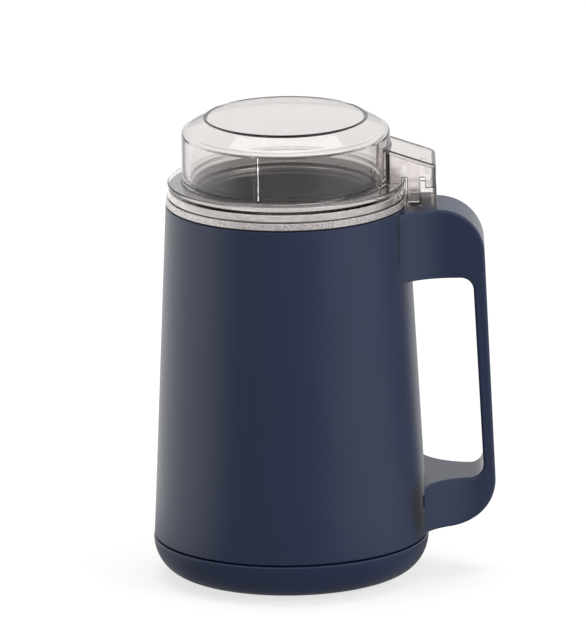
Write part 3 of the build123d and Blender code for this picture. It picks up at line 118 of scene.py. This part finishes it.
def add(tree, kind, inputs=None, **settings):
    """Add a node, set its properties, and give each named input a value or a link."""
    made = tree.nodes.new(kind)
    for name, value in settings.items():
        setattr(made, name, value)
    for socket, value in (inputs or {}).items():
        if isinstance(value, bpy.types.NodeSocket):
            tree.links.new(value, made.inputs[socket])
        else:
            made.inputs[socket].default_value = value
    return made


def blank(name):
    """A new material with an empty node tree, its output node and its Object coordinates."""
    material = bpy.data.materials.new(name)
    material.use_nodes = True
    tree = material.node_tree
    tree.nodes.clear()
    output = add(tree, "ShaderNodeOutputMaterial")
    return material, tree, output, add(tree, "ShaderNodeTexCoord").outputs["Object"]


# %% [markdown]
# ## Moulded plastics
# The housing, base and handle are navy ABS from a mould with a fine spark-eroded grain.
# The grain breaks up reflections into a satin sheen.
# Noise at the size of the grain moves the roughness and the height a little, and a much wider noise
# shifts the colour so that large faces don't look flat.
# The grain is drawn at 0.45 mm, coarser than the real one, so that it still shows in the picture.

# %% Moulded plastic
plastic_refraction = 1.54
grain_size, grain_depth = 0.45 * mm, 0.004 * mm
cloud_size = 30 * mm
gloss_swing = 0.03


def moulded_plastic(name, dark, pale, roughness):
    """Satin plastic: two close colours mixed by a wide noise, roughness and height from a noise
    of the grain's size."""
    material, tree, output, place = blank(name)
    cloud = add(tree, "ShaderNodeTexNoise", {"Vector": place, "Scale": 1 / cloud_size, "Detail": 2.0})
    fine = add(tree, "ShaderNodeTexNoise", {
        "Vector": place, "Scale": 1 / grain_size, "Detail": 3.0, "Roughness": 0.6,
    })
    colour = add(tree, "ShaderNodeMix", {
        0: cloud.outputs["Fac"], 6: linear(dark), 7: linear(pale),
    }, data_type="RGBA")
    rough = add(tree, "ShaderNodeMapRange", {
        "Value": fine.outputs["Fac"], **noise_span,
        "To Min": roughness - gloss_swing, "To Max": roughness + gloss_swing,
    })
    bump = add(tree, "ShaderNodeBump", {
        "Height": fine.outputs["Fac"], "Strength": 0.5, "Distance": grain_depth,
    })
    surface = add(tree, "ShaderNodeBsdfPrincipled", {
        "Base Color": colour.outputs[2], "Roughness": rough.outputs[0], "IOR": plastic_refraction,
        "Normal": bump.outputs["Normal"],
    })
    tree.links.new(surface.outputs[0], output.inputs["Surface"])
    return material


navy_abs = moulded_plastic("navy_abs_spark_eroded", "#1a2743", "#1d2b49", 0.31)
black_pom = moulded_plastic("black_acetal_moulded", "#191a1d", "#1f2023", 0.4)
black_phenolic = moulded_plastic("black_phenolic_pressed", "#1c1a19", "#242120", 0.5)
yellow_case = moulded_plastic("ochre_epoxy_case", "#b49a55", "#bfa560", 0.32)
grey_sheath = moulded_plastic("grey_pvc_sheath", "#57575a", "#606063", 0.45)
print("plastics:", navy_abs.name, black_pom.name, black_phenolic.name, yellow_case.name, grey_sheath.name)

# %% [markdown]
# ## Rubber
# Feet, cord gland, bowl gasket and motor isolators are black rubber: rough, with a soft mottled bloom
# and no clear reflections.
# A blotchy noise some millimetres wide makes the bloom, and a fine one makes the matt skin.

# %% Rubber
bloom_size = 6 * mm
skin_size, skin_depth = 0.5 * mm, 0.01 * mm


def moulded_rubber(name, dark, bloom):
    """Black rubber: a blotchy noise mixes in the pale bloom, and a fine noise gives the matt skin."""
    material, tree, output, place = blank(name)
    blotch = add(tree, "ShaderNodeTexNoise", {"Vector": place, "Scale": 1 / bloom_size, "Detail": 4.0})
    skin = add(tree, "ShaderNodeTexNoise", {"Vector": place, "Scale": 1 / skin_size, "Detail": 2.0})
    colour = add(tree, "ShaderNodeMix", {
        0: blotch.outputs["Fac"], 6: linear(dark), 7: linear(bloom),
    }, data_type="RGBA")
    bump = add(tree, "ShaderNodeBump", {
        "Height": skin.outputs["Fac"], "Strength": 0.4, "Distance": skin_depth,
    })
    surface = add(tree, "ShaderNodeBsdfPrincipled", {
        "Base Color": colour.outputs[2], "Roughness": 0.72, "IOR": 1.5, "Normal": bump.outputs["Normal"],
    })
    tree.links.new(surface.outputs[0], output.inputs["Surface"])
    return material


black_rubber = moulded_rubber("black_nitrile_rubber", "#141414", "#232324")
print("rubber:", black_rubber.name)

# %% [markdown]
# ## Clear plastic
# The lid, its snout and the switch socket are clear SAN, a hard see-through plastic with a faint warm
# grey tint. Light bends at every wall, so the walls are real closed thicknesses, and the plastic takes
# a share of the light for each stretch travelled inside, so long ways along a wall look dark.
# Moulded plastic is never optically flat, and a very shallow wide noise gives it that slight waviness.
# Lamps have to reach the bowl through the lid, so shadow rays meet plain transparency instead of glass.
# The snout and the socket are misty: their upright sides have a fine mould grain while level faces are
# polished.
# Their edges, and the weld where the snout meets the lid, are darkened in their colour: a painted shade for
# the dark that bent light gives there.

# %% Sides and painted dark edges of the misty pieces
level_roughness = 0.03
edge_size = 0.8 * mm
weld_end, weld_fade = 40.3 * mm, 0.4 * mm


def misty_sides_painted_edges(tree, place, tint, painted_edge_shade, side_roughness):
    """Colour and roughness of a piece with grained sides, and with painted shade on its edges and its weld.
    A face is a side where its normal's height is small, and level where it is near 1.
    An edge is where the dot product of the true normal and one rounded off over the edge size
    falls below 1. The weld is all that lies nearer to the lid's axis along X than the weld's end.
    Both are mixed towards the painted edge shade, standing in for the dark that light bent at these edges
    gives."""
    normal = add(tree, "ShaderNodeNewGeometry").outputs["Normal"]
    out = add(tree, "ShaderNodeSeparateXYZ", {0: normal})
    flatness = add(tree, "ShaderNodeMath", {0: out.outputs["Z"]}, operation="ABSOLUTE")
    rough = add(tree, "ShaderNodeMapRange", {
        "Value": flatness.outputs[0], "From Min": 0.3, "From Max": 0.7,
        "To Min": side_roughness, "To Max": level_roughness,
    })
    eased = add(tree, "ShaderNodeBevel", {"Radius": edge_size}, samples=8)
    facing = add(tree, "ShaderNodeVectorMath", {0: eased.outputs[0], 1: normal}, operation="DOT_PRODUCT")
    rim = add(tree, "ShaderNodeMapRange", {
        "Value": facing.outputs["Value"], "From Min": 0.85, "From Max": 0.99, "To Min": 1.0, "To Max": 0.0,
    })
    along = add(tree, "ShaderNodeSeparateXYZ", {0: place})
    weld_painted_shade = add(tree, "ShaderNodeMapRange", {
        "Value": along.outputs["X"], "From Min": weld_end - weld_fade, "From Max": weld_end,
        "To Min": 1.0, "To Max": 0.0,
    })
    # painted shade: edges and weld are darkened in the colour itself
    dark = add(tree, "ShaderNodeMath", {0: rim.outputs[0], 1: weld_painted_shade.outputs[0]}, operation="MAXIMUM")
    colour = add(tree, "ShaderNodeMix", {
        0: dark.outputs[0], 6: linear(tint), 7: linear(painted_edge_shade),
    }, data_type="RGBA")
    return colour.outputs[2], rough.outputs[0]


# %% Clear plastic
san_refraction = 1.57
ripple_size = 9 * mm


def clear_plastic(name, tint, depth_tint, density, roughness, wave, painted_edge_shade=None):
    """Clear plastic: full transmission at the refraction of SAN, with shadow rays let through.
    The volume takes a share of the light for each metre travelled inside, set by its density.
    With a painted edge shade, the grained sides and the painted dark edges of a misty piece are added."""
    material, tree, output, place = blank(name)
    ripple = add(tree, "ShaderNodeTexNoise", {"Vector": place, "Scale": 1 / ripple_size, "Detail": 1.0})
    bump = add(tree, "ShaderNodeBump", {"Height": ripple.outputs["Fac"], "Strength": 0.6, "Distance": wave})
    colour = linear(tint)
    if painted_edge_shade:
        colour, roughness = misty_sides_painted_edges(tree, place, tint, painted_edge_shade, roughness)
    surface = add(tree, "ShaderNodeBsdfPrincipled", {
        "Base Color": colour, "Roughness": roughness, "IOR": san_refraction, "Transmission Weight": 1.0,
        "Normal": bump.outputs["Normal"],
    })
    open_air = add(tree, "ShaderNodeBsdfTransparent", {"Color": linear(tint)})
    path = add(tree, "ShaderNodeLightPath")
    joined = add(tree, "ShaderNodeMixShader", {
        0: path.outputs["Is Shadow Ray"], 1: surface.outputs[0], 2: open_air.outputs[0],
    })
    inside = add(tree, "ShaderNodeVolumeAbsorption", {"Color": linear(depth_tint), "Density": density})
    tree.links.new(joined.outputs[0], output.inputs["Surface"])
    tree.links.new(inside.outputs[0], output.inputs["Volume"])
    return material


clear_san = clear_plastic("clear_san_moulded", "#f7f4f3", "#8a8180", 18.0, 0.02, 0.006 * mm)
# painted shade: #3a302e darkens the edges and the weld of the snout and the socket
misty_san = clear_plastic(
    "clear_san_grained_painted_dark_edges", "#f8f3f1", "#8c7f7c", 15.0, 0.2, 0.02 * mm, painted_edge_shade="#3a302e",
)
print("clear:", clear_san.name, misty_san.name)

# %% [markdown]
# ## Metals
# The collar's lower band is brushed, its upper band and the bowl are drawn and polished,
# and the screws are bright zinc. The bowl's steel is painted darker than the collar's, a painted shade for
# the shade inside the lid.
# Each finish is a noise whose cells have their own size along X, Y and Z, so a mapping scales each
# direction by its own stroke size. The brushed band's strokes are drawn wider than real ones,
# so that they show in the picture.
# Metals keep the default refraction, and their colour is the reflection's colour.

# %% Worked metal
def worked_metal(name, colour, worn, roughness, stroke, depth=0.002 * mm, spread=0.06):
    """Metal with a directional finish: noise cells of the given stroke size along X, Y and Z
    move colour, roughness and height. Strokes are given in millimetres."""
    material, tree, output, place = blank(name)
    across = add(tree, "ShaderNodeMapping", {"Vector": place, "Scale": tuple(1 / (s * mm) for s in stroke)})
    strokes = add(tree, "ShaderNodeTexNoise", {
        "Vector": across.outputs[0], "Scale": 1.0, "Detail": 3.0, "Roughness": 0.55,
    })
    contrast = add(tree, "ShaderNodeMapRange", {"Value": strokes.outputs["Fac"], **noise_span})
    shade = add(tree, "ShaderNodeMix", {
        0: contrast.outputs[0], 6: linear(worn), 7: linear(colour),
    }, data_type="RGBA")
    rough = add(tree, "ShaderNodeMapRange", {
        "Value": strokes.outputs["Fac"], **noise_span,
        "To Min": roughness + spread, "To Max": roughness - spread,
    })
    bump = add(tree, "ShaderNodeBump", {
        "Height": strokes.outputs["Fac"], "Strength": 0.4, "Distance": depth,
    })
    surface = add(tree, "ShaderNodeBsdfPrincipled", {
        "Base Color": shade.outputs[2], "Metallic": 1.0, "Roughness": rough.outputs[0],
        "Normal": bump.outputs["Normal"],
    })
    tree.links.new(surface.outputs[0], output.inputs["Surface"])
    return material


# %% Metals
brushed_steel = worked_metal(
    "stainless_steel_brushed", "#faf5f3", "#b0a7a8", 0.42, (0.45, 0.45, 0.8), depth=0.01 * mm,
)
drawn_steel = worked_metal("stainless_steel_drawn", "#dcd7d5", "#cac5c3", 0.16, (4, 4, 1.2), spread=0.04)
# painted shade: a darker copy of the drawn steel, for the shade inside the lid and under its flange
bowl_steel_painted_shade = worked_metal(
    "stainless_steel_deep_drawn_painted_shade", "#949191", "#827f7f", 0.22, (3, 3, 20), spread=0.04,
)
ground_steel = worked_metal("hardened_steel_ground", "#c9c6c4", "#a9a6a5", 0.26, (0.6, 5, 0.6))
zinc_steel = worked_metal("steel_zinc_plated", "#b9bcc0", "#8f9297", 0.3, (1.5, 1.5, 1.5))
sheet_iron = worked_metal("silicon_iron_lacquered", "#77777a", "#57575a", 0.45, (3, 3, 0.5))
enamel_copper = worked_metal("copper_wire_enamelled", "#c07a4a", "#8f5230", 0.3, (0.6, 0.6, 0.6))
sinter_bronze = worked_metal("bronze_sintered", "#a78552", "#7f6339", 0.42, (0.5, 0.5, 0.5))
cast_aluminium = worked_metal("aluminium_die_cast", "#c3c4c6", "#a1a2a4", 0.42, (1, 1, 1))
graphite = worked_metal("carbon_graphite_pressed", "#3a3a3b", "#242425", 0.5, (0.4, 0.4, 0.4))
print("metals: 10 finishes")

# %% [markdown]
# ## Finishes on the solids
# Each solid keeps its mesh and takes the finish of what it is made of. The record's slots say most of it,
# and a few nodes are named for their own finish.
# The handle and its screws stay out of reflections. Mirrored at a grazing angle, the lower bracket would
# stand on the housing as a hard black patch, so the floor below is dim on that side instead.

# %% Finishes on the solids
slot_finish = {
    "navy_plastic": navy_abs,
    "clear_plastic": clear_san,
    "brushed_steel": brushed_steel,
    "plain_steel": zinc_steel,
    "black_plastic": black_pom,
    "rubber": black_rubber,
    "laminations": sheet_iron,
    "copper": enamel_copper,
    "bronze": sinter_bronze,
    "aluminium": cast_aluminium,
    "carbon": graphite,
    "capacitor_case": yellow_case,
    "lead_sheath": grey_sheath,
}
node_finish = {
    "lid_snout": misty_san,
    "switch_socket": misty_san,
    "grinding_bowl": bowl_steel_painted_shade,
    "blade": ground_steel,
    "blade_nut": drawn_steel,
    "blade_spacer": drawn_steel,
    "motor_shaft": ground_steel,
    "brush_holders": black_phenolic,
}
for name, solid in nodes.items():
    for held in solid.material_slots:
        slot = held.material.name.split(".")[0]
        held.material = node_finish.get(name, slot_finish.get(slot, zinc_steel))
for name in ("handle", "handle_screws"):
    nodes[name].visible_glossy = False
print({name: solid.material_slots[0].material.name for name, solid in nodes.items()})

# %% [markdown]
# ## Turned surfaces
# The lid and the collar are turned shapes: an outline carried once round the axis.
# The outline is given in millimetres as corner points with a radius at each, the way a turner would
# read it, and every corner becomes an arc that touches both its sides.

# %% Outline helper
least_radius = 1e-3
flat_lead, flat_share = 0.3, 0.3


def rounded(corners, steps=6, closed=True):
    """Outline with rounded corners. A corner of half angle h and radius r gets an arc about the point
    r / sin(h) along the bisector, which touches each side r / tan(h) from the corner.
    A point a little way along each side keeps the flats flat.
    An open outline keeps its two end points as they are."""
    corners = np.array(corners, float)
    point, radius = corners[:, :2], np.maximum(corners[:, 2:], least_radius)
    to_last, to_next = np.roll(point, 1, 0) - point, np.roll(point, -1, 0) - point
    last_length, next_length = (np.linalg.norm(v, axis=1, keepdims=True) for v in (to_last, to_next))
    to_last, to_next = to_last / last_length, to_next / next_length
    half = np.arccos(np.clip((to_last * to_next).sum(1, keepdims=True), -1, 1)) / 2
    reach = radius / np.tan(half)
    bisector = to_last + to_next
    centre = point + bisector / np.linalg.norm(bisector, axis=1, keepdims=True) * radius / np.sin(half)
    first, final = point + reach * to_last - centre, point + reach * to_next - centre
    start = np.arctan2(first[:, 1], first[:, 0])[:, None]
    turn = np.arctan2(final[:, 1], final[:, 0])[:, None] - start
    turn = (turn + np.pi) % (2 * np.pi) - np.pi
    angle = start + turn * np.linspace(0, 1, steps)
    arc = centre[:, None, :] + radius[:, None, :] * np.stack([np.cos(angle), np.sin(angle)], -1)
    spare_last = last_length - reach - np.roll(reach, 1, 0)
    spare_next = next_length - reach - np.roll(reach, -1, 0)
    before = point + (reach + np.minimum(flat_lead, flat_share * spare_last)) * to_last
    after = point + (reach + np.minimum(flat_lead, flat_share * spare_next)) * to_next
    bends = np.concatenate([before[:, None], arc, after[:, None]], 1)
    if closed:
        return bends.reshape(-1, 2)
    return np.concatenate([point[:1], bends[1:-1].reshape(-1, 2), point[-1:]])


# %% Turning helper
def turned(name, outline, segments=192, on_axis=False):
    """Surface of an outline carried round Z: (r cos a, r sin a, z) on a grid of outline points by angles.
    A closed outline wraps both ways. An outline that starts and ends on the axis is closed there
    by a fan at each pole."""
    outline = np.asarray(outline, float) * mm
    ring = outline[1:-1] if on_axis else outline
    angle = np.linspace(0, 2 * np.pi, segments, endpoint=False)
    r, z = ring[:, :1], ring[:, 1:]
    points = np.stack([r * np.cos(angle), r * np.sin(angle), z + 0 * angle], -1).reshape(-1, 3)
    count = len(ring)
    i = np.arange(count - 1 if on_axis else count)[:, None]
    j = np.arange(segments)[None, :]
    here, there = i * segments, (i + 1) % count * segments
    on = (j + 1) % segments
    faces = np.stack([here + j, here + on, there + on, there + j], -1).reshape(-1, 4).tolist()
    if on_axis:
        poles = np.column_stack([np.zeros((2, 2)), outline[[0, -1], 1]])
        points = np.concatenate([points, poles])
        j, on, rim = j.ravel(), on.ravel(), (count - 1) * segments
        first_pole = np.full(segments, count * segments)
        faces += np.stack([first_pole, on, j], -1).tolist()
        faces += np.stack([first_pole + 1, rim + j, rim + on], -1).tolist()
    mesh = bpy.data.meshes.new(name)
    mesh.from_pydata(points.tolist(), [], faces)
    mesh.polygons.foreach_set("use_smooth", np.ones(len(mesh.polygons), bool))
    mesh.update()
    piece = bpy.data.objects.new(name, mesh)
    bpy.context.scene.collection.objects.link(piece)
    print(f"{name}: {len(points)} points, {len(faces)} faces")
    return piece


# %% [markdown]
# ## Clear lid
# The lid is one moulding: a spigot that drops into the collar, a flange that rests above it, a straight
# wall, a sloping shoulder and a flat top that stands up by a small step.
# Its edges are rounded by the mould, and they gather light into thin bright and dark lines.
# Sharp edges would show none. The inside of the shoulder follows the outside at an even thickness,
# because a wedge of plastic bends the view like a prism and looks dark.

# %% Clear lid
lid_low, lid_high = (np.array(v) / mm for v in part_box("lid_dome"))
flange_r, lid_bottom, lid_top = lid_high[1], lid_low[2], lid_high[2]
spigot_r, wall_r, top_r = 39.1, 40.5, 31.3
spigot_wall, wall = 1.6, 2.0
step, step_run, step_undercut = 0.5, 0.5, 0.1
flange_bottom, flange_top, shoulder = lid_top - 26.9, lid_top - 25.4, lid_top - 5.2
shoulder_inside = shoulder - 1.19
lid_corners = [
    (0, lid_top - wall, 0),
    (top_r - 1.5 * step, lid_top - wall, 1.5),
    (wall_r - wall, shoulder_inside, 1.0),
    (spigot_r - spigot_wall, lid_bottom, 0.3),
    (spigot_r, lid_bottom, 0.5),
    (spigot_r, flange_bottom, 0.3),
    (flange_r, flange_bottom, 0.35),
    (flange_r, flange_top, 0.5),
    (wall_r, flange_top, 0.5),
    (wall_r, shoulder, 3.0),
    (top_r + step_run, lid_top - step, 0.12),
    (top_r, lid_top - step - step_undercut, 0.12),
    (top_r, lid_top, 0.2),
    (0, lid_top, 0),
]
clear_lid = turned("clear_lid", rounded(lid_corners, closed=False), on_axis=True)
clear_lid.data.materials.append(clear_san)
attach(clear_lid, "lid")
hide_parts("lid_dome")

# %% [markdown]
# ## Steel collar
# The collar is a pressed ring of stainless steel. Its lower band is brushed, a thin groove parts it from
# a polished upper band, and its top falls away inwards. Its inner top and inner faces take the darker bowl
# steel as painted shade, so that the gap under the lid looks dark. Both bands lean inwards a little and so
# catch the light. A recess under the lower band is the joint line to the housing, painted black rubber as a
# painted shadow.
# One outline is turned round the axis, and each face takes its finish by its height and radius.

# %% Collar outline
collar_low, collar_high = (np.array(v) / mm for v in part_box("steel_collar"))
band_r, collar_bottom, collar_top = collar_high[1], collar_low[2], collar_high[2]
upper_r, groove_r, bore_r = band_r - 0.8, band_r - 1.3, 39.5
recess_r, back_r = band_r - 0.6, groove_r - 1.0
lean, top_strip, sheet = 0.45, 0.5, 1.0
recess_top, band_top = collar_bottom + 0.55, collar_bottom + 3.2
groove_top, bore_bottom = band_top + 0.5, collar_bottom + 0.9
bore_top, sheet_top, back_top = collar_top - 2.0, collar_top - 2.8, collar_top - 1.4
collar_corners = [
    (recess_r, collar_bottom, 0.1),
    (recess_r, recess_top, 0.1),
    (band_r, recess_top, 0.2),
    (band_r - lean, band_top, 0.25),
    (groove_r - lean, band_top, 0.1),
    (groove_r - lean, groove_top, 0.1),
    (upper_r, groove_top, 0.2),
    (upper_r - lean, collar_top, 0.25),
    (upper_r - lean - top_strip, collar_top, 0.2),
    (bore_r, bore_top, 0.4),
    (bore_r, bore_bottom, 0.2),
    (bore_r + sheet, bore_bottom, 0.2),
    (bore_r + sheet, sheet_top, 0.3),
    (back_r, back_top, 0.3),
    (back_r, collar_bottom, 0.2),
]
collar = turned("pressed_collar", rounded(collar_corners))

# %% Collar finishes and painted shade
# painted shade: index 2, the darker bowl steel, goes on the inner faces and index 3, black rubber, on the
# recess as a painted shadow
for finish in (drawn_steel, brushed_steel, bowl_steel_painted_shade, black_rubber):
    collar.data.materials.append(finish)
centres = np.empty(len(collar.data.polygons) * 3)
collar.data.polygons.foreach_get("center", centres)
centres = centres.reshape(-1, 3)
recess_margin, inner_margin, band_margin = 0.02, 0.3, 0.1
# painted shadow in the recess, painted shade on the faces inside the upper band
recess_painted_shadow = centres[:, 2] < (recess_top - recess_margin) * mm
inside_painted_shade = np.hypot(centres[:, 0], centres[:, 1]) < (upper_r - lean - inner_margin) * mm
in_lower_band = centres[:, 2] < (band_top - band_margin) * mm
finish_index = np.select([recess_painted_shadow, inside_painted_shade], [3, 2], in_lower_band).astype(np.int32)
collar.data.polygons.foreach_set("material_index", finish_index)
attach(collar, "housing")
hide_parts("steel_collar")
print("collar faces in each finish:", np.bincount(finish_index))

# %% [markdown]
# ## Plunger spring
# A spring under the plunger is squeezed each time the lid is pressed. Its lower end stays on the housing,
# and its upper end goes down with the plunger.
# A stiff solid can't do that, so a copy of its mesh is made with its triangles merged, and the solid is
# hidden.

# %% Plunger spring
merge_distance = 0.001 * mm
spring_mesh = nodes["plunger_spring"].data.copy()
merging = bmesh.new()
merging.from_mesh(spring_mesh)
bmesh.ops.remove_doubles(merging, verts=merging.verts, dist=merge_distance)
merging.to_mesh(spring_mesh)
merging.free()
squeezed_spring = bpy.data.objects.new("squeezed_spring", spring_mesh)
bpy.context.scene.collection.objects.link(squeezed_spring)
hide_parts("plunger_spring")
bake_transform(squeezed_spring)

# %% [markdown]
# ## Floor
# The grinder stands on a roll of white paper. The camera sees it lifted to white, with a soft shadow left.
# Reflections on the housing and the steel see a studio set out by direction. Going round from behind
# by the left, it is white, dim in front, paler at the front right, dim beyond the handle and white
# again behind. Close to the base it is darker, where the grinder keeps the light away.
# Rays that have come through clear plastic see plain white.

# %% Floor
floor_half, floor_drop = 3.0, -0.1 * mm
floor_square = np.array([(-1, -1, 0), (1, -1, 0), (1, 1, 0), (-1, 1, 0)])
floor_corners = floor_square * floor_half + (0, 0, floor_drop)
floor_mesh = bpy.data.meshes.new("floor")
floor_mesh.from_pydata(floor_corners.tolist(), [], [(0, 1, 2, 3)])
floor = bpy.data.objects.new("floor", floor_mesh)
bpy.context.scene.collection.objects.link(floor)
print("floor", floor_half * 2, "m")

# %% Paper as the camera sees it
white_paper, tree, output, place = blank("white_paper_roll")
path = add(tree, "ShaderNodeLightPath")
matt = add(tree, "ShaderNodeBsdfDiffuse", {"Color": linear("#f4f4f4")})
grey = add(tree, "ShaderNodeBsdfDiffuse", {"Color": linear("#a0a0a0")})
lift = add(tree, "ShaderNodeEmission", {"Strength": 0.72})
lifted = add(tree, "ShaderNodeAddShader", {0: grey.outputs[0], 1: lift.outputs[0]})
plain = add(tree, "ShaderNodeMixShader", {
    0: path.outputs["Is Camera Ray"], 1: matt.outputs[0], 2: lifted.outputs[0],
})
print("paper: matt as light, lifted for the camera")

# %% Paper as reflections see it
# Each step has its first and last direction in degrees, 0 towards the camera and 90 to the right,
# and the change of brightness between them
studio_steps = ((-80, -40, -0.87), (6, 56, 0.60), (70, 120, -0.64), (128, 142, 0.65), (150, 180, 0.26))
white_behind, dimmest = 1.1, 0.23
shade_start, shade_end, shade_least = 0.05, 0.18, 0.3
floor_xyz = add(tree, "ShaderNodeSeparateXYZ", {0: place})
towards = add(tree, "ShaderNodeMath", {0: floor_xyz.outputs["Y"], 1: -1.0}, operation="MULTIPLY")
direction = add(tree, "ShaderNodeMath", {
    0: floor_xyz.outputs["X"], 1: towards.outputs[0],
}, operation="ARCTAN2")
studio = white_behind
for first, last, change in studio_steps:
    stretch = add(tree, "ShaderNodeMapRange", {
        "Value": direction.outputs[0], "From Min": math.radians(first), "From Max": math.radians(last),
        "To Min": 0.0, "To Max": change,
    }, interpolation_type="SMOOTHSTEP")
    studio = add(tree, "ShaderNodeMath", {0: studio, 1: stretch.outputs[0]}, operation="ADD").outputs[0]
distance = add(tree, "ShaderNodeVectorMath", {0: place}, operation="LENGTH")
shade = add(tree, "ShaderNodeMapRange", {
    "Value": distance.outputs["Value"], "From Min": shade_start, "From Max": shade_end,
    "To Min": shade_least, "To Max": 1.0,
}, interpolation_type="SMOOTHSTEP")
shaded = add(tree, "ShaderNodeMath", {0: studio, 1: shade.outputs[0]}, operation="MULTIPLY")
at_least_dim = add(tree, "ShaderNodeMath", {0: shaded.outputs[0], 1: dimmest}, operation="MAXIMUM")
brightness = add(tree, "ShaderNodeMath", {
    0: at_least_dim.outputs[0], 1: path.outputs["Is Transmission Ray"],
}, operation="MAXIMUM")
glow = add(tree, "ShaderNodeEmission", {"Strength": brightness.outputs[0]})
seen = add(tree, "ShaderNodeMixShader", {
    0: path.outputs["Is Glossy Ray"], 1: plain.outputs[0], 2: glow.outputs[0],
})
tree.links.new(seen.outputs[0], output.inputs["Surface"])
floor_mesh.materials.append(white_paper)
print("studio in reflections:", len(studio_steps), "steps round the set")

# %% [markdown]
# ## World
# The background is white wherever it is seen: by the camera, in reflections and through clear plastic.
# As light on matt surfaces it is about half as strong, so that the housing keeps its depth of colour.

# %% World
world = bpy.data.worlds.new("white_studio")
world.use_nodes = True
tree = world.node_tree
tree.nodes.clear()
path = add(tree, "ShaderNodeLightPath")
soft = add(tree, "ShaderNodeBackground", {"Strength": 0.55})
white = add(tree, "ShaderNodeBackground", {"Strength": 1.0})
direct = add(tree, "ShaderNodeMath", {
    0: path.outputs["Is Camera Ray"], 1: path.outputs["Is Glossy Ray"],
}, operation="MAXIMUM")
clear = add(tree, "ShaderNodeMath", {
    0: direct.outputs[0], 1: path.outputs["Is Transmission Ray"],
}, operation="MAXIMUM")
background = add(tree, "ShaderNodeMixShader", {
    0: clear.outputs[0], 1: soft.outputs[0], 2: white.outputs[0],
})
add(tree, "ShaderNodeOutputWorld", {"Surface": background.outputs[0]})
bpy.context.scene.world = world
print("world: white where it is seen, softer as light")

# %% [markdown]
# ## Lamps
# A large soft lamp from above and one from the right give the housing its form. Both stay out of
# reflections, where their shapes would stand as bright patches on the steel.
# A narrow strip that lights nothing but the lid draws the upright highlight on its wall.

# %% Lamps
nearly_upright = 0.99


def soft_lamp(name, spot, aim, width, height, watts, mirrored=True):
    """A rectangle lamp at a spot, turned so that its face looks at the aim point.
    Its side is level: the cross product of Z and the way it faces, or X for a lamp nearly overhead."""
    lamp = bpy.data.lights.new(name, "AREA")
    lamp.shape = "RECTANGLE"
    lamp.size, lamp.size_y, lamp.energy = width, height, watts
    stand = bpy.data.objects.new(name, lamp)
    away = np.array(spot) - np.array(aim)
    away = away / np.linalg.norm(away)
    side = np.cross((0, 0, 1), away) if abs(away[2]) < nearly_upright else np.array([1.0, 0, 0])
    side = side / np.linalg.norm(side)
    lamp_axes = np.eye(4)
    lamp_axes[:3] = np.column_stack([side, np.cross(away, side), away, spot])
    stand.matrix_world = Matrix(lamp_axes.tolist())
    stand.visible_camera = False
    stand.visible_glossy = mirrored
    bpy.context.scene.collection.objects.link(stand)
    return stand


middle = (0, 0, 0.1)
strip_height = 0.084
soft_lamp("top_box", (0.0, 0.2, 1.6), middle, 1.6, 1.2, 16, mirrored=False)
soft_lamp("right_box", (1.2, -0.9, 0.7), middle, 0.9, 1.1, 10, mirrored=False)
strip = soft_lamp("strip", (-0.20, -0.35, strip_height), (0, 0, strip_height), 0.006, 0.04, 0.015)
lid_only = bpy.data.collections.new("lit_by_strip")
lid_only.objects.link(clear_lid)
strip.light_linking.receiver_collection = lid_only
print("three lamps")
